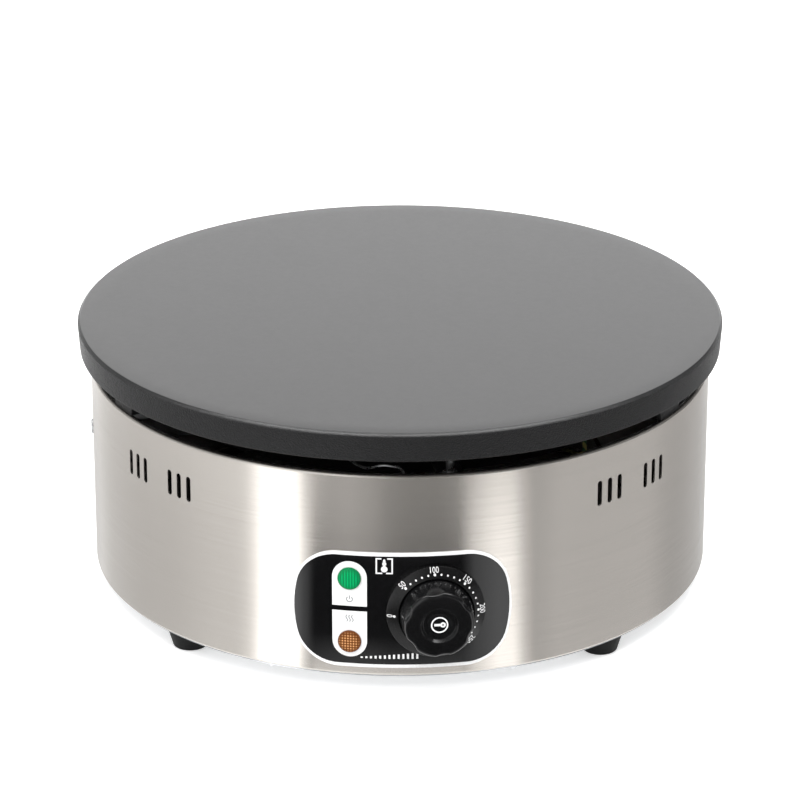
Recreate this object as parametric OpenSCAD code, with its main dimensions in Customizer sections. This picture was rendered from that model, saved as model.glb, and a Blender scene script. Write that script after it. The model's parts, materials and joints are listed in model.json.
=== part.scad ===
// Electric crepe maker: a round cast iron griddle plate on a stainless steel drum.
// Millimetres, +Z up, origin on the standing surface under the middle of the plate.
// The controls face -Y. Azimuths are degrees about +Z, from the front (-Y) towards +X.

/* [Griddle plate] */
// Diameter of the cooking surface
plate_d = 400; // [396:1:420]
// Height of the plate's rim
plate_h = 18; // [16:0.5:24]
// Thickness of the plate above its hollow underside
plate_web = 12; // [10:0.5:14]
// Width of the rim that hangs round the underside
rim_w = 10; // [8:0.5:14]
// How much the rim narrows towards its lower edge, on the radius
rim_draft = 1.1; // [0.5:0.1:2]
// Chamfer round the cooking surface
plate_chamfer = 1.7; // [0.5:0.1:3]
// Clear height between the drum and the plate's rim
plate_gap = 11; // [9:0.5:16]
// Width of each lug that the plate stands on
lug_w = 26; // [20:1:40]
// Thickness of each lug, along the radius
lug_t = 8; // [6:0.5:10]
// Width of the cast ribs
rib_w = 6; // [4:0.5:10]
// Height of the ribs and of the seats for the elements
land_h = 3; // [2:0.5:4]

/* [Drum] */
// Outer diameter of the drum
drum_d = 384.8; // [380:0.2:388]
// Height of the drum
drum_h = 129; // [122:1:160]
// Thickness of the drum's sheet
drum_wall = 1; // [0.8:0.1:1.5]
// Outer radius of the bends at the drum's edges
drum_bend = 2; // [1.6:0.1:3]
// Width of the rolled hem at the top
hem_w = 3.5; // [3.2:0.1:5]
// Depth of the turned-down lip of that hem
hem_lip = 4; // [3.2:0.1:6]
// Width of the flange at the bottom
flange_w = 10.4; // [9:0.1:12]
// Width of a vent slot
slot_w = 3; // [2:0.5:4]
// Length of a vent slot
slot_l = 15.5; // [10:0.5:24]
// Vent slots in one group
slot_count = 3; // [2:1:4]
// Distance between the vent slots of a group
slot_pitch = 8; // [6:0.5:9]
// Height of the middle of the slots above the drum's lower edge
slot_rise = 100.2; // [90:0.2:104]

/* [Base and feet] */
// Thickness of the base plate
base_t = 1; // [0.8:0.1:1.5]
// Height of a rubber foot
foot_h = 12; // [10:1:20]
// Diameter of a foot at its top
foot_top_d = 28; // [22:1:28]
// Diameter of a foot at its bottom
foot_low_d = 22; // [18:1:26]
// Distance from the drum's outside in to the middle of a foot
foot_inset = 16.4; // [16:0.2:30]

/* [Control panel] */
// Width of the panel, measured round the drum
panel_w = 132.2; // [126:0.2:140]
// Height of the panel
panel_h = 74.4; // [68:0.2:80]
// Thickness of the panel
panel_t = 0.6; // [0.4:0.1:1]
// Radius of the panel's corners
panel_corner = 26.2; // [20:0.2:30]
// Radius of the panel's bulged ends
panel_end = 77.2; // [70:0.2:100]
// Height of the panel's middle above the drum's lower edge
panel_rise = 42.8; // [40:0.2:48]
// Azimuth of the panel's middle
panel_az = 1.75; // [0:0.05:4]
// Azimuth of the two pilot lamps
lamp_az = -7.45; // [-9:0.05:-7]
// Height of the upper lamp above the drum's lower edge
lamp_high = 63; // [58:0.5:64]
// Height of the lower lamp above the drum's lower edge
lamp_low = 22.3; // [21:0.1:26]
// Diameter of a lamp's lens
lens_d = 14; // [13:0.5:15]
// How far a lens stands out of the panel
lens_rise = 1.8; // [1:0.1:3]

/* [Dial and knob] */
// Azimuth of the dial
dial_az = 7.6; // [7:0.1:9]
// Height of the dial's middle above the drum's lower edge
dial_rise = 43; // [40:0.2:46]
// Diameter of the dial ring
dial_d = 58.5; // [52:0.5:60]
// Height of the dial ring's inner edge above the panel
dial_t = 3.8; // [3.4:0.1:5]
// Diameter of the knob at its base
knob_d = 44; // [40:0.5:45]
// Diameter of the knob's front face
knob_face_d = 39; // [36:0.5:40]
// Height of the knob
knob_h = 17.9; // [16:0.1:22]
// Number of finger scallops round the knob
scallops = 6; // [5:1:8]
// Radius of a scallop
scallop_r = 13; // [10:0.5:16]
// Depth of a scallop at the front face
scallop_depth = 2.5; // [1.5:0.1:3]
// Diameter of the dished recess in the knob's face
dish_d = 19.4; // [18:0.2:22]
// Diameter of the thermostat's spindle
spindle_d = 6; // [5:0.5:6.5]

/* [Heating] */
// Diameter of the sheathed heating elements
element_d = 8; // [6.5:0.1:8.5]
// Distance from the reflector pan's rim in to the outer heating loop
outer_inset = 6; // [5:0.5:10]
// Radius of the inner heating loop
inner_loop = 88; // [80:1:92]
// Radius of the bends where the loops turn down
element_bend = 12; // [11:0.5:14]
// Width of a clamp bar
clamp_w = 22; // [18:1:26]
// Thickness of a clamp bar
clamp_t = 4; // [3:0.5:5]
// Diameter of the clamp studs
clamp_stud_d = 8; // [6:1:8]
// Distance from the drum's hem in to the reflector pan's rim
pan_inset = 32.9; // [31:0.1:34]
// Distance from the drum's hem in to the studs that carry the pan
stud_inset = 12.9; // [12:0.1:14]
// Depth of the reflector pan
pan_depth = 10; // [9:0.5:12]
// Thickness of the pan's sheet
pan_t = 1; // [0.8:0.1:1.5]
// Thickness of the insulating pad
pad_t = 6.5; // [4:0.5:7]
// Diameter of the thermostat's bulb
bulb_d = 6; // [5:0.5:6.5]
// Length of the bulb
bulb_l = 84; // [60:1:88]
// Diameter of the capillary tube
capillary_d = 1.6; // [1.2:0.1:2]

/* [Frame and wiring] */
// Azimuth of the front end of the crossbar
bar_az = -84; // [-90:1:-76]
// Width of the crossbar
bar_w = 30; // [24:1:36]
// Thickness of the crossbar's sheet
bar_t = 2; // [1.5:0.5:3]
// Height of the crossbar's screws above the drum's lower edge
bar_screw_rise = 87; // [84:1:90]
// Diameter of the stud that holds the plate down
hold_stud_d = 10; // [8:1:12]
// Height of the cable gland above the drum's lower edge
gland_rise = 32; // [28:1:40]
// Diameter of the gland's thread
gland_d = 20; // [16:1:20]
// Diameter of the hole that the cable passes
cable_d = 9; // [7:0.5:9]
// Diameter of the insulated leads
lead_d = 2.5; // [2:0.5:3.5]

/* [Hidden] */
$fn = 96;

// Levels, from the standing surface upwards
base_low = foot_h;
drum_low = base_low + base_t;
drum_top = drum_low + drum_h;
rim_low = drum_top + plate_gap;
plate_top = rim_low + plate_h;
web_low = plate_top - plate_web;
land_low = web_low - land_h;
element_low = land_low - element_d;
element_mid = land_low - element_d/2;
clamp_low = element_low - clamp_t;

// Plate and drum radii
plate_r = plate_d/2;
rim_out = plate_r - rim_draft;
rim_in = rim_out - rim_w;
drum_r = drum_d/2;
drum_in = drum_r - drum_wall;
hem_in = drum_r - hem_w;
flange_in = drum_r - flange_w;
lug_out = drum_r - drum_bend;
lug_in = lug_out - lug_t;
lug_az = [60, 180, 300];
lug_spread = 4;
rib_az = [30:60:330];

// Seats and bosses under the plate, and how far its studs and screws go in above the web's lower face
seat_margin = 2;
thread_in = 3;
hub_r = 24;
hub_low = land_low - 5;
boss_r = 9;
boss_low = element_low + 0.5;
pan_boss_r = 6.5;
pan_boss_low = land_low - 3;

// Metric fasteners: [thread diameter, across flats, nut height, washer diameter, washer height]
m3 = [3, 5.5, 2.4, 7, 0.5];
m4 = [4, 7, 3.2, 9, 0.8];
m5 = [5, 8, 4, 10, 1];
m8 = [clamp_stud_d, 1.625*clamp_stud_d, 0.8125*clamp_stud_d, 2*clamp_stud_d, 1.6];
m10 = [hold_stud_d, 1.7*hold_stud_d, 0.84*hold_stud_d, 2*hold_stud_d, 2];
fit = 0.2; // radial clearance of a screw in its hole

// Vent slots
slot_groups = [-138.3, -126.5, -53.5, -41.7, 41.7, 53.5, 126.5, 138.3];
slot_z = drum_low + slot_rise;

// Controls, as distances from the drum's axis along each control's own axis
panel_z = drum_low + panel_rise;
panel_out = drum_r + panel_t;
dial_z = drum_low + dial_rise;
dial_r = dial_d/2;
dial_face = panel_out + dial_t;
dial_drop = 1;
dial_well = 21;
well_floor = drum_r + 1.8;
dial_window = 20;
knob_gap = 0.5;
knob_low = dial_face + knob_gap;
knob_top = knob_low + knob_h;
knob_r = knob_d/2;
knob_face_r = knob_face_d/2;
knob_skirt = 2.6;
knob_round = 1.4;
knob_wall = 3;
knob_rib_t = 1.6;
knob_floor = 4.4;
dish_r = dish_d/2;
dish_depth = 2;
cap_r = 7.4;
cap_t = 1.4;
cap_low = knob_top - dish_depth - cap_t + 0.6;
spindle_r = spindle_d/2;
spindle_flat = spindle_r/3;
clip_t = 0.4;
clip_w = 2*sqrt(pow(spindle_r, 2) - pow(spindle_r - spindle_flat + clip_t, 2)) - 0.2;
clip_l = 9;
knob_hub_r = spindle_r + 3;
knob_hub_low = knob_low + 1;
spindle_top = knob_top - knob_floor - 1.2;
lamp_z = [drum_low + lamp_low, drum_low + lamp_high];
lens_r = lens_d/2;
lens_shank = 5.9;
lens_in = drum_r - 12;
lamp_hole = lens_shank + 0.1;
lamp_wall = 1.4;
lamp_back = 8;
lamp_pin_x = 3;
lamp_end = lens_in - lamp_back - 7.5;

// Thermostat behind the drum's wall
therm_w = 50;
therm_h = 38;
therm_plate_t = 1.5;
therm_face = sqrt(drum_in*drum_in - therm_w*therm_w/4);
therm_back = therm_face - therm_plate_t;
therm_depth = 24;
therm_body_w = 44;
therm_body_h = 32;
therm_screw_x = 14;
therm_blades = [[-12, 7], [12, 7], [-12, -7], [12, -7]];
blade = [6.3, 0.8, 8];
blade_end = therm_back - therm_depth - blade[2];
bellows_r = 9;

// Radii of the pan's rim, the outer loop and the studs of the clamp bars, midway between the loops
pan_r = hem_in - pan_inset;
outer_loop = pan_r - outer_inset;
clamp_circle = (outer_loop + inner_loop)/2;

// Heating loops: the ends turn down either side of this azimuth
loop_az = 150;
outer_half_gap = 9;
inner_half_gap = 14;
bend_step = 22.5;
loop_steps = 60;
leg_low = 116;
bead_l = 5;
pin_low = leg_low - bead_l - 11;
pin_r = 1.75;
clamp_az = lug_az;
clamp_end = [inner_loop - 16, outer_loop + 14];
clamp_stud_low = clamp_low - m8[4] - m8[2] - 1.4;

// Thermostat bulb, held crosswise under the web at the front
bulb_r = bulb_d/2;
bulb_y = -clamp_circle;
bulb_z = web_low - bulb_r;
strap_t = 0.8;
strap_w = 12;
wing = 12;
bulb_screw_y = bulb_r + strap_t + 4.4;

// Reflector pan on three studs
pan_stud_az = [11, 131, 251];
pan_stud_circle = hem_in - stud_inset;
stud_middle_r = 2.75;
pan_top = clamp_stud_low + 1.4;
pan_low = pan_top - pan_depth;
pan_slope = 6;
ear_w = 16;
pan_clear = 1;

// Crossbar and the stud that holds the plate down
bar_screw_z = drum_low + bar_screw_rise;
bar_top = bar_screw_z + 10;
bar_flange = 12;
bar_notch = 20;
tab_low = bar_screw_z - 10;
bar_screw_l = 12;
hold_low = bar_top - bar_t - m10[4] - m10[2] - 6;
hold_high = web_low + thread_in + 2;

// Base
base_r = drum_r - 2;
base_screw_circle = (drum_in + flange_in)/2 + 0.4;
base_screw_az = [22.5:45:337.5];
foot_az = [-135, -45, 45, 135];
foot_circle = drum_r - foot_inset;
foot_round = 2;
foot_pocket_r = 6;
foot_pocket = 8;
vent_rows = [60, 96];
vent_l = 26;
vent_w = 4;

// Terminal block at the rear
block = [54, 24, 16];
block_y = drum_r - 62.4;
pole_x = [-16, 0, 16];
pole_z = 9;
pole = [9, 7];
pole_screw_y = 7;
pole_screw_r = 2.6;
block_screw_x = 24;
earth_xy = [-44, block_y - 2];
earth_az = 40;
earth_circle = pan_r + 13;
earth_boss_low = land_low - 2;
tag_t = 0.8;
tag_r = 4.6;
tag_reach = 6.4;
lead_gap = 0.3;

// Cable gland through the rear of the drum
gland_z = drum_low + gland_rise;
gland_r = gland_d/2;
seal_r = gland_r + 3.4;
seal_face = drum_r + 2;
hex_t = 5;
neck_r = gland_r - 2;
neck_l = 8;
gland_in = drum_in - 10;
bush_r = neck_r - 1.2;
bush_l = 15;
cap_len = 15;
locknut_t = 4.5;
locknut_r = gland_r + 4.6;
cable_r = cable_d/2;

// ---- Shared shapes -------------------------------------------------------

// Points of an arc about c, from angle a0 to a1
function arc(c, r, a0, a1, n = 8) =
    [for (i = [0:n]) let (a = a0 + (a1 - a0)*i/n) c + r*[cos(a), sin(a)]];

// Children at an azimuth and radius, +Z up
module at(az, r = 0, z = 0) rotate([0, 0, az]) translate([0, -r, z]) children();

// Children with +Z pointing out of the drum, +X to the right and +Y up, seen from outside
module facing(az, z) rotate([0, 0, az]) translate([0, 0, z]) rotate([90, 0, 0]) children();

module ring(r, w, z0, z1) translate([0, 0, z0]) difference() {
    cylinder(r = r + w/2, h = z1 - z0);
    translate([0, 0, -1]) cylinder(r = r - w/2, h = z1 - z0 + 2);
}

module post(r, z0, z1) translate([0, 0, z0]) cylinder(r = r, h = z1 - z0);

module hex(flats, z0, z1) translate([0, 0, z0])
    cylinder(r = flats/2/cos(30), h = z1 - z0, $fn = 6);

module block_of(size, z0) translate([-size[0]/2, -size[1]/2, z0]) cube(size);

// A nut or washer of size m with its lower face at z0
module nut(m, z0) difference() {
    hex(m[1], z0, z0 + m[2]);
    post(m[0]/2, z0 - 1, z0 + m[2] + 1);
}
module washer(m, z0) difference() {
    post(m[3]/2, z0, z0 + m[4]);
    post(m[0]/2 + fit, z0 - 1, z0 + m[4] + 1);
}

// A domed screw head of radius r and height h, standing on z = 0 with its drive recess
module pan_head(r, h) difference() {
    rotate_extrude() polygon(concat([[0, 0], [r, 0]], arc([r - h*0.8, h*0.2], h*0.8, 0, 90, 6), [[0, h]]));
    for (turn = [0, 90]) rotate([0, 0, turn]) translate([-r*0.55, -0.4, h*0.45]) cube([r*1.1, 0.8, h]);
}
module pan_screw(m, length) {
    pan_head(m[0]*0.95, m[0]*0.6);
    translate([0, 0, -length]) cylinder(d = m[0], h = length + 0.01);
}

// The drum's skin out to radius r, for cutting a seat that fits it
module core(r) translate([0, 0, -10]) cylinder(r = r, h = drum_top + 40, $fn = 192);

// A smooth line through points, n steps a span
function bend4(a, b, c, d, t) = 0.5*(2*b + (c - a)*t + (2*a - 5*b + 4*c - d)*t*t
    + (3*b - a - 3*c + d)*t*t*t);
function smooth(p, n) = concat([for (i = [0:len(p) - 2]) for (k = [0:n - 1])
    bend4(p[max(i - 1, 0)], p[i], p[i + 1], p[min(i + 2, len(p) - 1)], k/n)], [p[len(p) - 1]]);
function unit(v) = v/norm(v);
function tangent(p, i) = unit(p[min(i + 1, len(p) - 1)] - p[max(i - 1, 0)]);
// Side vectors carried along the line without twisting
function sides(p, i, v) = let (t = tangent(p, i), s = unit(v - (v*t)*t))
    i == len(p) - 1 ? [s] : concat([s], sides(p, i + 1, s));
// A round tube of radius r along a line
module tube(p, r, n = 8) {
    s = sides(p, 0, abs(tangent(p, 0)[2]) < 0.8 ? [0, 0, 1] : [1, 0.2, 0]);
    ring_points = [for (i = [0:len(p) - 1]) let (t = tangent(p, i), u = s[i], w = cross(t, u))
        for (k = [0:n - 1]) p[i] + r*(cos(360*k/n)*u + sin(360*k/n)*w)];
    last = (len(p) - 1)*n;
    polyhedron(ring_points, concat(
        [[for (k = [0:n - 1]) k]], [[for (k = [n - 1:-1:0]) last + k]],
        [for (i = [0:len(p) - 2]) for (k = [0:n - 1])
            [i*n + k, (i + 1)*n + k, (i + 1)*n + (k + 1)%n, i*n + (k + 1)%n]]));
}
// A place given as [azimuth, radius, height]
function spot(a) = [a[1]*sin(a[0]), -a[1]*cos(a[0]), a[2]];
function route(list) = [for (a = list) spot(a)];

// ---- Griddle plate -------------------------------------------------------

module griddle_plate() color([0.16, 0.16, 0.17]) difference() {
    union() {
        rotate_extrude($fn = 192) polygon([[0, web_low], [rim_in - 1, web_low], [rim_in, rim_low],
            [rim_out, rim_low], [plate_r, plate_top - plate_chamfer],
            [plate_r - plate_chamfer, plate_top], [0, plate_top]]);
        for (loop = [outer_loop, inner_loop]) ring(loop, element_d + 2*seat_margin, land_low, web_low + 1);
        for (az = rib_az) at(az) translate([-rib_w/2, -rim_in - 0.5, land_low])
            cube([rib_w, rim_in + 0.5 - hub_r + 1, land_h + 1]);
        post(hub_r, hub_low, web_low + 1);
        for (az = clamp_az) at(az, clamp_circle) post(boss_r, boss_low, web_low + 1);
        for (az = pan_stud_az) at(az, pan_stud_circle) post(pan_boss_r, pan_boss_low, web_low + 1);
        at(earth_az, earth_circle) post(tag_r, earth_boss_low, web_low + 1);
        for (az = lug_az) plate_lug(az);
    }
    at(earth_az, earth_circle) post(m4[0]/2, earth_boss_low - 1, web_low + thread_in);
    post(hold_stud_d/2, hub_low - 1, hold_high + 1);
    for (az = clamp_az) at(az, clamp_circle) post(clamp_stud_d/2, boss_low - 1, web_low + thread_in + 1);
    for (az = pan_stud_az) at(az, pan_stud_circle) post(m4[0]/2, pan_boss_low - 1, web_low + thread_in);
    for (side = [-1, 1]) translate([0, bulb_y + side*bulb_screw_y, 0])
        post(m3[0]/2, web_low - 1, web_low + 6);
}

// A cast lug, wider at its root, that stands on the drum's hem
module plate_lug(az) intersection() {
    ring((lug_in + lug_out)/2, lug_t, drum_top, web_low + 0.5);
    at(az) rotate([90, 0, 0]) linear_extrude(plate_r) polygon([[-lug_w/2, drum_top],
        [lug_w/2, drum_top], [lug_w/2 + lug_spread, web_low + 1], [-lug_w/2 - lug_spread, web_low + 1]]);
}

// ---- Heating elements ----------------------------------------------------

// Azimuth of each leg of a loop, side -1 or 1
function leg_az(r, half, side) = loop_az + side*(half - atan(element_bend/r));
function leg_r(r) = norm([r, element_bend]);

// A point of the bend at one end of a loop: turn 0 at its leg, 90 at the loop
function loop_bend(r, half, side, turn) = let (az = loop_az + side*half)
    spot([az, r, element_mid - element_bend*(1 - sin(turn))])
        - side*element_bend*cos(turn)*[cos(az), sin(az), 0];
function loop_foot(r, half, side) =
    let (p = loop_bend(r, half, side, 0)) [p[0], p[1], leg_low];
function loop_route(r, half) = concat([loop_foot(r, half, 1)],
    [for (turn = [0:bend_step:89]) loop_bend(r, half, 1, turn)],
    [for (k = [0:loop_steps]) spot([loop_az + half + (360 - 2*half)*k/loop_steps, r, element_mid])],
    [for (turn = [90 - bend_step:-bend_step:0]) loop_bend(r, half, -1, turn)], [loop_foot(r, half, -1)]);
module outer_element() color([0.35, 0.34, 0.33])
    tube(loop_route(outer_loop, outer_half_gap), element_d/2, 12);
module inner_element() color([0.35, 0.34, 0.33])
    tube(loop_route(inner_loop, inner_half_gap), element_d/2, 12);

// Calls its children at the foot of each of the four legs
module at_legs() for (loop = [[outer_loop, outer_half_gap], [inner_loop, inner_half_gap]], side = [-1, 1])
    at(leg_az(loop[0], loop[1], side), leg_r(loop[0])) children();

module element_terminals() color([0.9, 0.88, 0.84]) at_legs() {
    post(element_d/2 - 0.4, leg_low - bead_l, leg_low);
    post(pin_r, pin_low, leg_low - bead_l + 0.5);
}

module clamp_bars() color([0.5, 0.5, 0.5]) for (az = clamp_az) at(az) difference() {
    translate([-clamp_w/2, -clamp_end[1], clamp_low]) cube([clamp_w, clamp_end[1] - clamp_end[0], clamp_t]);
    translate([0, -clamp_circle, 0]) post(clamp_stud_d/2 + fit, clamp_low - 1, element_low + 1);
}
module clamp_studs() color([0.6, 0.6, 0.6]) for (az = clamp_az) at(az, clamp_circle)
    post(clamp_stud_d/2, clamp_stud_low, web_low + thread_in);
module clamp_washers() color([0.75, 0.75, 0.75]) for (az = clamp_az) at(az, clamp_circle)
    washer(m8, clamp_low - m8[4]);
module clamp_nuts() color([0.7, 0.7, 0.7]) for (az = clamp_az) at(az, clamp_circle)
    nut(m8, clamp_low - m8[4] - m8[2]);

// ---- Thermostat bulb and capillary ---------------------------------------

module thermostat_bulb() color([0.72, 0.45, 0.3]) translate([-bulb_l/2, bulb_y, bulb_z]) rotate([0, 90, 0])
    rotate_extrude() polygon(concat([[0, 0]], arc([bulb_r - 1.2, 1.2], 1.2, -90, 0, 4),
        arc([bulb_r - 1.2, bulb_l - 1.2], 1.2, 0, 90, 4), [[0, bulb_l]]));

module bulb_clip() color([0.8, 0.8, 0.82]) difference() {
    translate([-strap_w/2, bulb_y, 0]) rotate([90, 0, 90]) linear_extrude(strap_w) difference() {
        union() {
            translate([0, bulb_z]) circle(r = bulb_r + strap_t);
            translate([-bulb_r - strap_t, bulb_z]) square([2*(bulb_r + strap_t), bulb_r]);
            translate([-wing, web_low - strap_t]) square([2*wing, strap_t]);
        }
        translate([0, bulb_z]) circle(r = bulb_r);
        translate([-bulb_r, bulb_z]) square([2*bulb_r, bulb_r + 1]);
        translate([-wing, web_low]) square([2*wing, 2*bulb_d]);
    }
    for (side = [-1, 1]) translate([0, bulb_y + side*bulb_screw_y, 0])
        post(m3[0]/2 + fit, web_low - 2, web_low + 1);
}
module bulb_screws() color([0.75, 0.75, 0.75]) for (side = [-1, 1])
    translate([0, bulb_y + side*bulb_screw_y, web_low - strap_t]) rotate([180, 0, 0]) pan_screw(m3, 6);

// From the bulb's end under the outer loop, over the pan's rim and down to the thermostat
capillary_end = [dial_az - 3, therm_back - 12, dial_z + therm_body_h/2 + 6];
capillary_route = concat([[-bulb_l/2, bulb_y, bulb_z], [-bulb_l/2 - 6, bulb_y, bulb_z - 1]],
    route([[-21, outer_loop - 12, element_low - 3], [-15, outer_loop, element_low - 6],
        [-11, pan_r + 3, pan_top + 4.1], [-8, pan_r + 9, pan_top + 1.6],
        [-5.6, pan_r + 13.5, pan_top + 0.7], [-4, pan_r + 17, pan_top + 2.7],
        [-2.6, pan_r + 18.8, pan_top + 4.6], [-1, pan_r + 19.6, pan_top + 5.2],
        [1.6, pan_r + 20, pan_top + 3.2], [2.3, pan_r + 20, pan_low + 6],
        [3, pan_r + 20, pan_low - 8], [3.6, pan_r + 21, pan_low - 26], [4.2, pan_r + 21, dial_z + 32]]),
    [spot(capillary_end)]);
module capillary_tube() color([0.8, 0.6, 0.45])
    tube(smooth(capillary_route, 5), capillary_d/2);

// ---- Reflector pan and insulation ----------------------------------------

module reflector_pan() color([0.2, 0.2, 0.21]) difference() {
    union() {
        rotate_extrude() polygon([[0, pan_low], [pan_r - pan_slope, pan_low], [pan_r, pan_top],
            [pan_r - pan_t, pan_top], [pan_r - pan_slope - pan_t, pan_low + pan_t], [0, pan_low + pan_t]]);
        for (az = pan_stud_az) at(az) {
            translate([-ear_w/2, -pan_stud_circle, pan_top - pan_t])
                cube([ear_w, pan_stud_circle - pan_r + pan_t, pan_t]);
            translate([0, -pan_stud_circle, 0]) post(ear_w/2, pan_top - pan_t, pan_top);
        }
    }
    for (az = pan_stud_az) at(az, pan_stud_circle) post(m4[0]/2 + fit, pan_low, pan_top + 1);
    post(hold_stud_d/2 + pan_clear, pan_low - 1, pan_top);
    at_legs() post(element_d/2 + pan_clear, pan_low - 1, pan_top);
}
module insulation_pad() color([0.93, 0.92, 0.88]) difference() {
    post(pan_r - pan_slope - pan_t, pan_low + pan_t, pan_low + pan_t + pad_t);
    post(hold_stud_d/2 + pan_clear, pan_low, pan_top);
    at_legs() post(element_d/2 + 0.3, pan_low, pan_top);
}
// Each stud is turned with a collar, on which the pan's ear is clamped, and a thick middle
module pan_studs() color([0.8, 0.8, 0.8]) for (az = pan_stud_az) at(az, pan_stud_circle) {
    post(m4[0]/2, pan_top - pan_t - m4[2] - 3, web_low + thread_in - 1);
    post(stud_middle_r, pan_top, pan_boss_low);
    post(m4[3]/2, pan_top, pan_top + m4[4]);
}
module pan_nuts() color([0.8, 0.8, 0.8]) for (az = pan_stud_az) at(az, pan_stud_circle)
    nut(m4, pan_top - pan_t - m4[2]);

// ---- Hold-down stud and crossbar -----------------------------------------

module hold_stud() color([0.65, 0.65, 0.65]) post(hold_stud_d/2, hold_low, hold_high);
module hold_washers() color([0.75, 0.75, 0.75]) {
    washer(m10, bar_top);
    washer(m10, bar_top - bar_t - m10[4]);
}
module hold_nuts() color([0.7, 0.7, 0.7]) {
    nut(m10, bar_top + m10[4]);
    nut(m10, bar_top - bar_t - m10[4] - m10[2]);
}

module crossbar() color([0.66, 0.67, 0.68]) rotate([0, 0, bar_az]) difference() {
    union() {
        intersection() {
            union() {
                translate([-bar_w/2, -drum_r, bar_top - bar_t]) cube([bar_w, drum_d, bar_t]);
                for (side = [-1, 1])
                    translate([side*(bar_w - bar_t)/2 - bar_t/2, bar_notch - drum_r, bar_top - bar_flange])
                        cube([bar_t, drum_d - 2*bar_notch, bar_flange]);
            }
            core(drum_in);
        }
        intersection() {
            translate([-bar_w/2, -drum_r, tab_low]) cube([bar_w, drum_d, bar_top - tab_low]);
            difference() {
                core(drum_in);
                core(drum_in - bar_t);
            }
        }
    }
    post(hold_stud_d/2 + fit, bar_top - bar_t - 1, bar_top + 1);
    translate([0, drum_r, bar_screw_z]) rotate([90, 0, 0]) cylinder(r = m5[0]/2 + fit, h = drum_d);
}
// Calls its children at each end of the crossbar, +Z out of the drum
module at_bar_ends() for (turn = [0, 180]) facing(bar_az + turn, bar_screw_z) children();
module crossbar_screws() color([0.75, 0.75, 0.76]) {
    difference() {
        at_bar_ends() translate([0, 0, drum_r - 0.1]) pan_head(m5[0]*0.95, m5[0]*0.24);
        core(drum_r);
    }
    at_bar_ends() post(m5[0]/2, drum_r - bar_screw_l, drum_r + 0.5);
}
module crossbar_nuts() color([0.7, 0.7, 0.7]) at_bar_ends()
    nut(m5, sqrt(pow(drum_in - bar_t, 2) - pow(m5[1]/2, 2)) - m5[2]);

// ---- Drum and base -------------------------------------------------------

drum_profile = concat(
    [[flange_in, drum_low]], arc([drum_r - drum_bend, drum_low + drum_bend], drum_bend, -90, 0),
    arc([drum_r - drum_bend, drum_top - drum_bend], drum_bend, 0, 90),
    [[hem_in, drum_top], [hem_in, drum_top - hem_lip], [hem_in + drum_wall, drum_top - hem_lip],
        [hem_in + drum_wall, drum_top - drum_wall]],
    arc([drum_r - drum_bend, drum_top - drum_bend], drum_bend - drum_wall, 90, 0),
    arc([drum_r - drum_bend, drum_low + drum_bend], drum_bend - drum_wall, 0, -90),
    [[flange_in, drum_low + drum_wall]]);

module vent_slot() {
    for (end = [-1, 1]) translate([0, end*(slot_l - slot_w)/2, drum_in - 5])
        cylinder(d = slot_w, h = 12, $fn = 32);
    translate([-slot_w/2, -(slot_l - slot_w)/2, drum_in - 5]) cube([slot_w, slot_l - slot_w, 12]);
}

module drum() color([0.78, 0.78, 0.77]) difference() {
    rotate_extrude($fn = 192) polygon(drum_profile);
    for (az = slot_groups, k = [0:slot_count - 1])
        facing(az + (k - (slot_count - 1)/2)*slot_pitch/drum_r*180/PI, slot_z) vent_slot();
    for (z = lamp_z) facing(lamp_az, z) post(lamp_hole, drum_in - 3, drum_r + 3);
    facing(dial_az, dial_z) {
        post(spindle_r + 1.5, drum_in - 3, drum_r + 3);
        for (side = [-1, 1]) translate([side*therm_screw_x, 0, 0])
            post(m4[0]/2 + fit, drum_in - 5, drum_r + 3);
    }
    at_bar_ends() post(m5[0]/2 + fit, drum_in - 3, drum_r + 3);
    facing(180, gland_z) post(gland_r + fit, drum_in - 3, drum_r + 3);
    for (az = base_screw_az) at(az, base_screw_circle) post(m3[0]/2, drum_low - 1, drum_low + 2);
}

module base_plate() color([0.7, 0.71, 0.71]) difference() {
    post(base_r, base_low, drum_low);
    for (az = base_screw_az) at(az, base_screw_circle) post(m3[0]/2 + fit, base_low - 1, drum_low + 1);
    for (az = foot_az) at(az, foot_circle) post(m5[0]/2 + fit, base_low - 1, drum_low + 1);
    for (row = vent_rows, az = [0:30:330]) at(az + 15, row) translate([-vent_w/2, -vent_l/2, base_low - 1])
        cube([vent_w, vent_l, base_t + 2]);
    for (side = [-1, 1]) translate([side*block_screw_x, block_y, 0])
        post(m3[0]/2, base_low - 1, drum_low + 1);
    translate([earth_xy[0], earth_xy[1], 0]) post(m4[0]/2, base_low - 1, drum_low + 1);
}
module base_screws() color([0.75, 0.75, 0.76]) for (az = base_screw_az)
    at(az, base_screw_circle, base_low) rotate([180, 0, 0]) pan_screw(m3, 6);

module feet() color([0.07, 0.07, 0.07]) for (az = foot_az) at(az, foot_circle) difference() {
    rotate_extrude() polygon(concat([[0, 0]],
        arc([foot_low_d/2 - foot_round, foot_round], foot_round, -90, 0, 5),
        [[foot_top_d/2, foot_h], [0, foot_h]]));
    post(foot_pocket_r, -1, foot_pocket);
    post(m5[0]/2 + fit, 0, foot_h + 1);
}
module foot_screws() color([0.75, 0.75, 0.76]) for (az = foot_az)
    at(az, foot_circle, foot_pocket) rotate([180, 0, 0]) pan_screw(m5, foot_h - foot_pocket + base_t + 7);
module foot_nuts() color([0.7, 0.7, 0.7]) for (az = foot_az) at(az, foot_circle) nut(m5, drum_low);

// ---- Control panel, lamps and dial ---------------------------------------

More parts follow.
